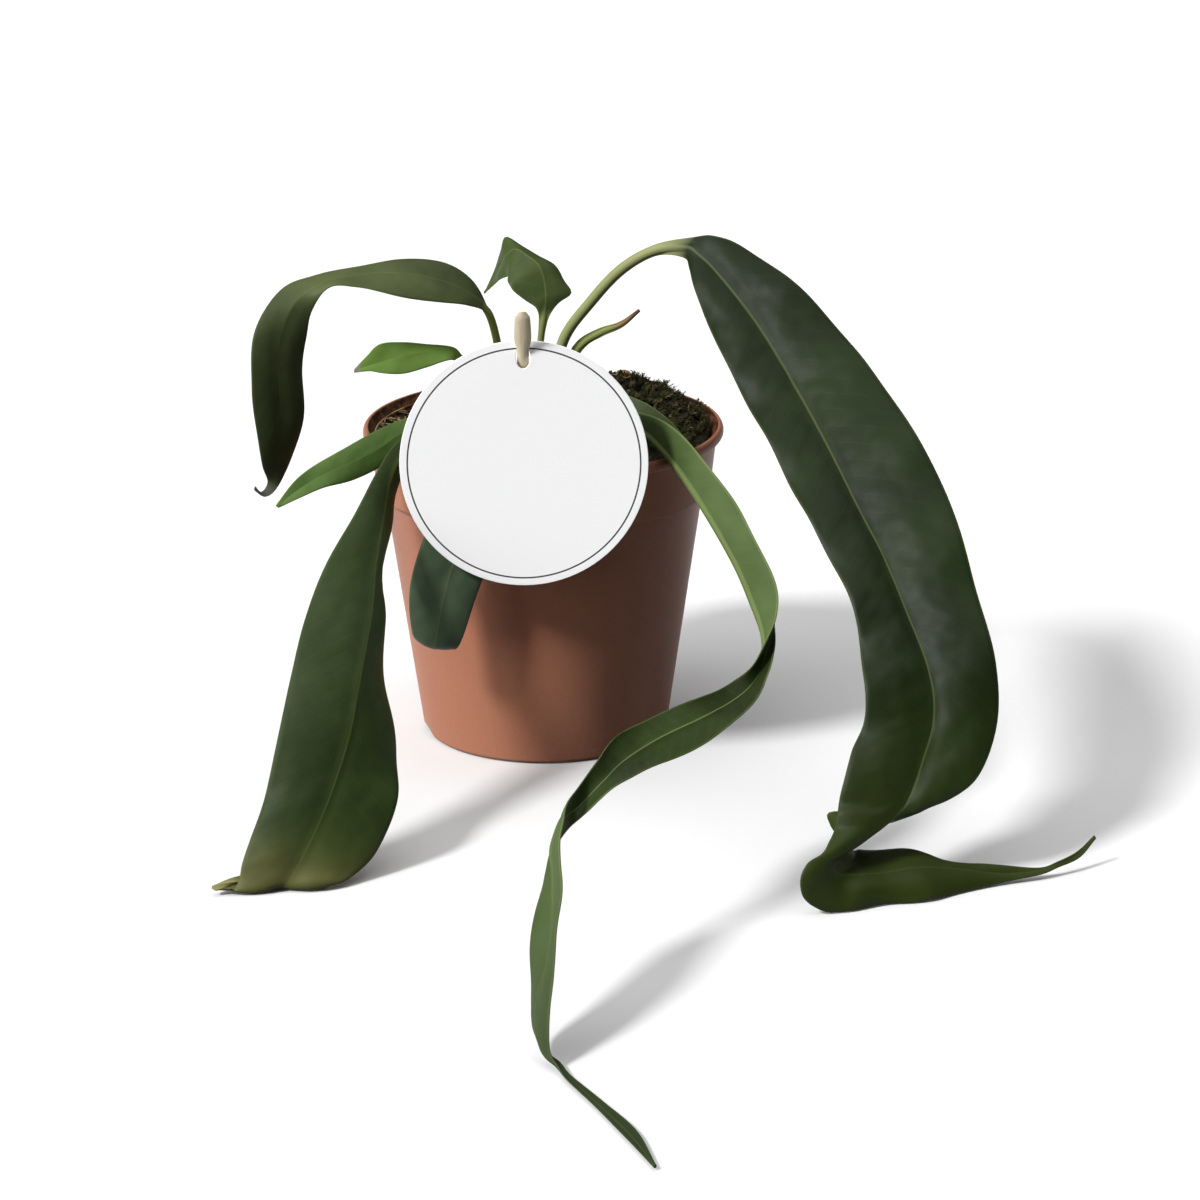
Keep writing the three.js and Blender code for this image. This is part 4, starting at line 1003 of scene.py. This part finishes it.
# The small pointed leaf on a thin stalk behind the stake.
small_back = [
    ((-3, 12, 99), 2.2, (1.1, 0, 0)),
    ((-2, 7, 118), 2.2, (1.1, 0, 0)),
    ((0, 2, 138), 2.1, (1.1, 0, 0)),
    ((1, 3, 146), 2, (3.6, 1, -1.3), (-2.7, -1, -2)),
    ((1, 5, 149.6), 1.8, (8.6, 2, -1.6), (-6, -2, -3.2)),
    ((0.3, 7, 153.6), 1.6, (7, 3, -2), (-9.3, -3, -4.3)),
    ((-1.3, 9, 157.2), 1.6, (5.6, 4, -1.3), (-9.3, -4, -5.7)),
    ((-5, 12, 159.5), 1.5, (4, 4, -1.3), (-6.3, -5, -7)),
    ((-8.5, 15, 161), 1.4, (1.6, 5, 0), (-2.7, -6, -7.7)),
    ((-11.6, 18, 158.5), 1.3, (-0.3, 6, 4.8), (0, -6, -5.7)),
    ((-13.3, 20, 154.7), 1.2, (-0.3, 5, 4), (-0.7, -5, -3.6)),
    ((-15.7, 22, 150), 1.1, (0, 3, 2), (-0.3, -2, -1.9)),
    ((-19.2, 24, 144.5), 0.9, (0.3, 0.3, 0.3), (-0.2, -0.3, -0.3)),
]
leaf_skin = leaf_finish(
    "leaf_back_skin", "#354120", "#414F29", "#586735", "#8B9459", "#737C47", wrinkle=0.6, roughness=0.42,
    vein_pitch=4.5,
)
leaf("leaf_back", "leaf_small_back", small_back, leaf_skin, 0.8, 0.3, 0.12, 4.5)

# The dark leaf that hangs close in front of the pot, with its end curled under.
front = [
    ((-9, -8, 98), 2.8, (-1, 0, 0)),
    ((-10, -14, 108), 2.8, (-1.2, 0, 0)),
    ((-14, -30, 114), 2.4, (-3, 0, 0.5), (3, 0, 0.5)),
    ((-17, -46, 113), 2, (-5, 0, 1), (5, 0, 1)),
    ((-20, -57.5, 108), 1.6, (-7, 0, 2), (6, 0, 0)),
    ((-23, -61, 96), 1.6, (-9, 1, 4), (8, 0, -3)),
    ((-28, -62, 80), 1.6, (-11, 2, 3), (10, 0, -3)),
    ((-32, -63, 67), 1.5, (-11, 3, 1), (10, 0, -1)),
    ((-35, -63, 52), 1.4, (-8, 3, 2), (8, 0, -1)),
    ((-36, -59.5, 47), 1.2, (-5, 2, 2), (6, 0, 0)),
    ((-36, -56, 50), 1, (-0.6, 0, 0)),
]
leaf_skin = leaf_finish(
    "leaf_front_skin", "#394635", "#475840", "#516A3C", "#728154", "#6A7544", wrinkle=1.4, roughness=0.38,
    vein_pitch=5,
)
leaf("leaf_fore", "leaf_front", front, leaf_skin, 0.8, 0.3, 0.12, 5, 0.5)


# Sheath
# The papery sheath that wrapped a young leaf. It has dried to a narrow curved scroll, brown at its tip.
sheath = [
    ((4, 9, 99), 2.6, (1, 0, 0)),
    ((6, 6, 118), 2.8, (1.3, 0, 0)),
    ((12, 2, 131), 2.8, (1.3, 0, -0.8)),
    ((19, 1, 136), 2, (0.6, 0, -1.2)),
    ((26, 0, 139), 1.4, (0.4, 0, -0.8)),
    ((32, -1, 144), 0.9, (0.2, 0, -0.3)),
]
paper = material("sheath_paper", {"Specular IOR Level": 0.3})
fibre = paper.cloud(paper.vector(paper.field("across") * 3, paper.field("along") * 0.15, 0), 1, 4, 0.6)
tone = paper.mix(paper.rise(paper.field("to_tip"), 15, 6), "#98A45C", "#8A7046")
tone = paper.mix(paper.rise(paper.field("to_tip"), 6, 1), tone, "#543A2A")
tone = paper.mix(0.35 * fibre, tone, "#3B3A20")
paper.finish({"Base Color": tone, "Roughness": 0.6 + 0.2 * fibre, "Normal": paper.relief(fibre, 0.0003)})
leaf("sheath_scroll", "sheath", sheath, paper.owner)


# Moss
# A loose cushion of dark moss that lies on the mix at the right, with straw and a piece of bark in it. Its
# top is ragged with short leafy shoots.
moss_height = 14.5
moss_lift = 0.8
moss_inner = 15
moss_outer = inside_radius(soil_top + 2) - fit - 0.4
moss_from, moss_to = math.radians(84), math.radians(-30)
cushion_rounds = 110
cushion_acrosses = 56
tuft_count = 230
tuft_shoots = 9
leaflets = 9
straw_bits = 60
straw_steps = 5
flake_count = 60


def moss_top(share_round, share_across):
    """A point on the cushion's top, from shares of the way round it and of the way out to the rim."""
    angle = moss_from + (moss_to - moss_from) * share_round
    radius = moss_inner + (moss_outer - moss_inner) * share_across
    x, y = around(radius, angle)
    ends = max(0, math.sin(math.pi * share_round)) ** 0.6
    sides = math.sin(math.pi * (0.22 + 0.7 * share_across)) ** 0.8
    ragged = 1.1 * math.sin(0.9 * x + 2 * y) + 0.9 * math.sin(1.7 * x - 0.6 * y)
    rise = ends * sides * (moss_height + 0.08 * y + ragged)
    return Vector((x, y, soil_height(x, y) + moss_lift + 1 + rise))


points = []
for i in range(cushion_rounds + 1):
    top, bottom = [], []
    for j in range(cushion_acrosses + 1):
        share_round, share_across = i / cushion_rounds, j / cushion_acrosses
        spot = moss_top(share_round, share_across)
        inset = math.sin(math.pi * share_round) * math.sin(math.pi * share_across)
        rough = min(1, 3 * inset) * noise.fractal(spot / 2.6, 0.8, 2.2, 4)
        base = soil_height(spot.x, spot.y) + moss_lift
        top.append(Vector((spot.x, spot.y, max(base + 0.2, spot.z - 1.2 + 1.3 * rough))))
        bottom.append(Vector((spot.x, spot.y, base)))
    points += top + bottom[::-1]
faces = tube_faces(cushion_rounds + 1, 2 * (cushion_acrosses + 1))
cushion = material("moss_cushion", {"Specular IOR Level": 0.2, "Roughness": 0.95})
grain = cushion.cloud(cushion.place(), 600, 5, 0.7)
tone = cushion.mix(cushion.rise(grain, 0.35, 0.7), "#0E0E05", "#29270F")
cushion.finish({"Base Color": tone, "Normal": cushion.relief(grain, 0.0012)})
piece("moss_bed", points, faces, cushion.owner, ["moss"], 60)

shoots = Heap()
leaflet_faces = [[0, 1, 3], [1, 2, 3], [2, 0, 3], [0, 2, 1]]
for shoot in range(tuft_count * tuft_shoots):
    if shoot % tuft_shoots == 0:
        tuft = moss_top(chance.random(), 0.97 * math.sqrt(chance.random())) - 1.4 * upright
        tuft_tall = vary(1.2, 3.2)
    away = Vector((chance.gauss(0, 0.6), chance.gauss(0, 0.6), 0))
    root = tuft + away
    lean = (upright + away * 0.9).normalized()
    long = tuft_tall * vary(0.7, 1)
    curl = Vector((chance.gauss(0, 0.35), chance.gauss(0, 0.35), 0))
    path = [root + lean * long * step / 3 + curl * long * (step / 3) ** 2 for step in range(4)]
    tone = chance.random()
    shoots.tube(path, [0.13, 0.12, 0.1, 0.05], tone, 3)
    for leaflet in range(leaflets):
        share = 0.15 + 0.85 * leaflet / leaflets
        start = root + lean * long * share + curl * long * share**2
        turn = leaflet * 2.4 + 6 * tone
        side = lean.orthogonal().normalized()
        out = side * math.cos(turn) + lean.cross(side) * math.sin(turn) + lean * 0.9
        tip = start + out.normalized() * vary(0.7, 1.4)
        wide = lean.cross(out).normalized() * 0.2
        deep = out.cross(wide).normalized() * 0.1
        shoots.add([start - wide, start + wide, start + deep, tip], leaflet_faces, tone)

shoot_skin = material("moss_shoots", {"Roughness": 0.75, "Specular IOR Level": 0.3})
own_tone = shoot_skin.field("tone")
tone = shoot_skin.mix(shoot_skin.rise(own_tone, 0.1, 0.9), "#191906", "#49471C")
tone = shoot_skin.mix(shoot_skin.rise(own_tone, 0.95, 0.97), tone, "#6E6034")
shoot_skin.finish({"Base Color": tone})
shoots.make("moss_tufts", shoot_skin.owner, 50)

litter = Heap()
for straw_bit in range(straw_bits):
    spot = moss_top(vary(0.05, 0.95), vary(0.1, 0.97)) - upright * vary(0, 0.8)
    heading = vary(0, 2 * math.pi)
    run = Vector((*around(1, heading), chance.gauss(0, 0.25))) * vary(1.5, 4.5)
    bend = Vector((chance.gauss(0, 0.25), chance.gauss(0, 0.25), chance.gauss(0, 0.4)))
    shares = [step / straw_steps for step in range(straw_steps + 1)]
    path = [spot + run * (share - 0.5) + bend * math.sin(math.pi * share) for share in shares]
    litter.tube(path, [0.1, 0.17, 0.2, 0.2, 0.16, 0.08], chance.random(), 5)
litter.lump(moss_top(0.36, 0.55) + 0.8 * upright, 2.6, 0.8, 0.9, fine_ball)
litter.make("moss_straw", straw.owner)

flakes = Heap()
for flake in range(flake_count):
    spot = moss_top(vary(0.05, 0.95), vary(0.1, 0.95))
    flakes.lump(spot, vary(0.5, 1.3), vary(0.4, 0.8), vary(0.2, 1), coarse_ball)
flakes.make("moss_bark", bark.owner)


# Card
# A round plant card of stiff white board, with one thin dark line printed near its edge and an oval hole
# punched at its top. The stake holds it up through the hole, and it leans back a little.
card_radius = 39.4
card_thick = 0.8
card_centre = Vector((-6.2, -63.6, 110))
card_lean = math.radians(5.5)
card_hole_wide = 2.3
card_hole_tall = 3.8
card_hole_drop = 5.2
card_bevel = 0.14
line_radius = 36.9
line_width = 0.5
card_sides = 192
card_right = Vector((1, 0, 0))
card_up = Vector((0, math.sin(card_lean), math.cos(card_lean)))
card_face = Vector((0, -math.cos(card_lean), math.sin(card_lean)))
hole_up = card_radius - card_hole_drop


def card_ring(grow, depth, hole):
    """An outline of the card or of its hole, at a depth from the card's middle.

    Its points stand in the same directions from the hole's centre in both, so that rings join evenly.
    """
    ring = []
    for at in range(card_sides):
        across, up = around(1, 2 * math.pi * at / card_sides)
        if hole:
            x, y = (card_hole_wide - grow) * across, hole_up + (card_hole_tall - grow) * up
        else:
            ahead = -hole_up * up + math.sqrt((card_radius + grow) ** 2 - (hole_up * across) ** 2)
            x, y = ahead * across, hole_up + ahead * up
        ring.append(card_centre + card_right * x + card_up * y + card_face * depth)
    return ring


half = card_thick / 2
section = [(-card_bevel, half), (0, half - card_bevel), (0, card_bevel - half), (-card_bevel, -half)]
rings = [card_ring(grow, depth, False) for grow, depth in section]
rings += [card_ring(grow, depth, True) for grow, depth in reversed(section)]
faces = []
for at in range(len(rings)):
    low, high = at * card_sides, (at + 1) % len(rings) * card_sides
    for spoke in range(card_sides):
        after = (spoke + 1) % card_sides
        faces.append([low + spoke, high + spoke, high + after, low + after])
board = material("card_board", {"Specular IOR Level": 0.35})
where = board.place()
from_centre = board.node(
    "ShaderNodeVectorMath", {"operation": "DISTANCE"}, {0: where, 1: card_centre / 1000}, "Value"
)
facing = board.dot(board.node("ShaderNodeNewGeometry", output="Normal"), card_face)
off_line = abs(1000 * from_centre - line_radius)
printed = board.rise(off_line, line_width / 2 + 0.08, line_width / 2 - 0.08) * board.rise(facing, 0.5, 0.9)
pulp = board.cloud(where, 1500, 3, 0.6)
tone = board.mix(0.25 * board.cloud(where, 50, 2), "#FFFFFF", "#FAFBFC")
tone = board.mix(0.06 * pulp, tone, "#C4C7CB")
board.finish({
    "Base Color": board.mix(printed, tone, "#24282C"),
    "Roughness": 0.5 + 0.15 * pulp,
    "Normal": board.relief(pulp, 0.00003),
})
piece("card_disc", [point for ring in rings for point in ring], faces, board.owner, ["card"], 30)


# Stake
# A flat split of bamboo that stands in the mix behind the card, leans forward through the card's hole and
# ends in a rounded point. Its faces are worn round towards their sides.
stake_width = 5.4
stake_thick = 1.2
stake_neck = 3.9
stake_lean = math.radians(24)
stake_reach = 18
stake_foot = 68
stake_round = 0.9
stake_shares = (1, 0.9, 0.72, 0.4, 0, -0.4, -0.72, -0.9, -1)
stake_stops = 90
stake_up = Vector((0, -math.sin(stake_lean), math.cos(stake_lean)))
stake_face = Vector((0, -math.cos(stake_lean), -math.sin(stake_lean)))
card_hole = card_centre + card_up * hole_up
hole_at = (card_hole.z - stake_foot) / stake_up.z
foot = card_hole - stake_up * hole_at
long = hole_at + stake_reach
stake_outline = [
    (0, stake_width / 2),
    (hole_at - 14, stake_width / 2),
    (hole_at - 6, stake_neck / 2),
    (hole_at + 2.5, stake_neck / 2),
    (hole_at + 5, stake_width / 2 - 0.3),
    (hole_at + 8, stake_width / 2),
    (long - 3, stake_width / 2 - 0.3),
    (long - 1.2, stake_width / 2 - 1),
    (long - 0.2, 1),
    (long, 0.4),
]
points = []
for step in range(stake_stops + 1):
    place = (len(stake_outline) - 1) * step / stake_stops
    at, reach = curve_point([Vector(pair) for pair in stake_outline], place)
    reach = min(reach, stake_width / 2)
    centre = foot + stake_up * at
    thick = stake_thick / 2 * min(1, 0.35 + (long - at) / 4)
    front = [(reach * share, thick * (1 - stake_round * share**2)) for share in stake_shares]
    section = front + [(x, -z) for x, z in reversed(front)]
    points += [centre + card_right * x + stake_face * z for x, z in section]
faces = tube_faces(stake_stops + 1, 2 * len(stake_shares))
bamboo = material("bamboo", {"Specular IOR Level": 0.35})
where = bamboo.place()
height = bamboo.dot(where, stake_up)
side = bamboo.dot(where, card_right)
depth = bamboo.dot(where, stake_face)
fibres = bamboo.cloud(bamboo.vector(side * 2600, depth * 2600, height * 70), 1, 4, 0.65)
band = bamboo.cloud(bamboo.vector(side * 300, depth * 300, height * 40), 1, 2)
tone = bamboo.mix(bamboo.rise(fibres, 0.3, 0.75), "#FFF5DA", "#FFEAC4")
tone = bamboo.mix(0.15 * band, tone, "#CFA772")
bamboo.finish({
    "Base Color": tone,
    "Roughness": 0.55 + 0.15 * fibres,
    "Normal": bamboo.relief(fibres, 0.0001),
})
piece("stake_split", points, faces, bamboo.owner, ["stake"], 40)
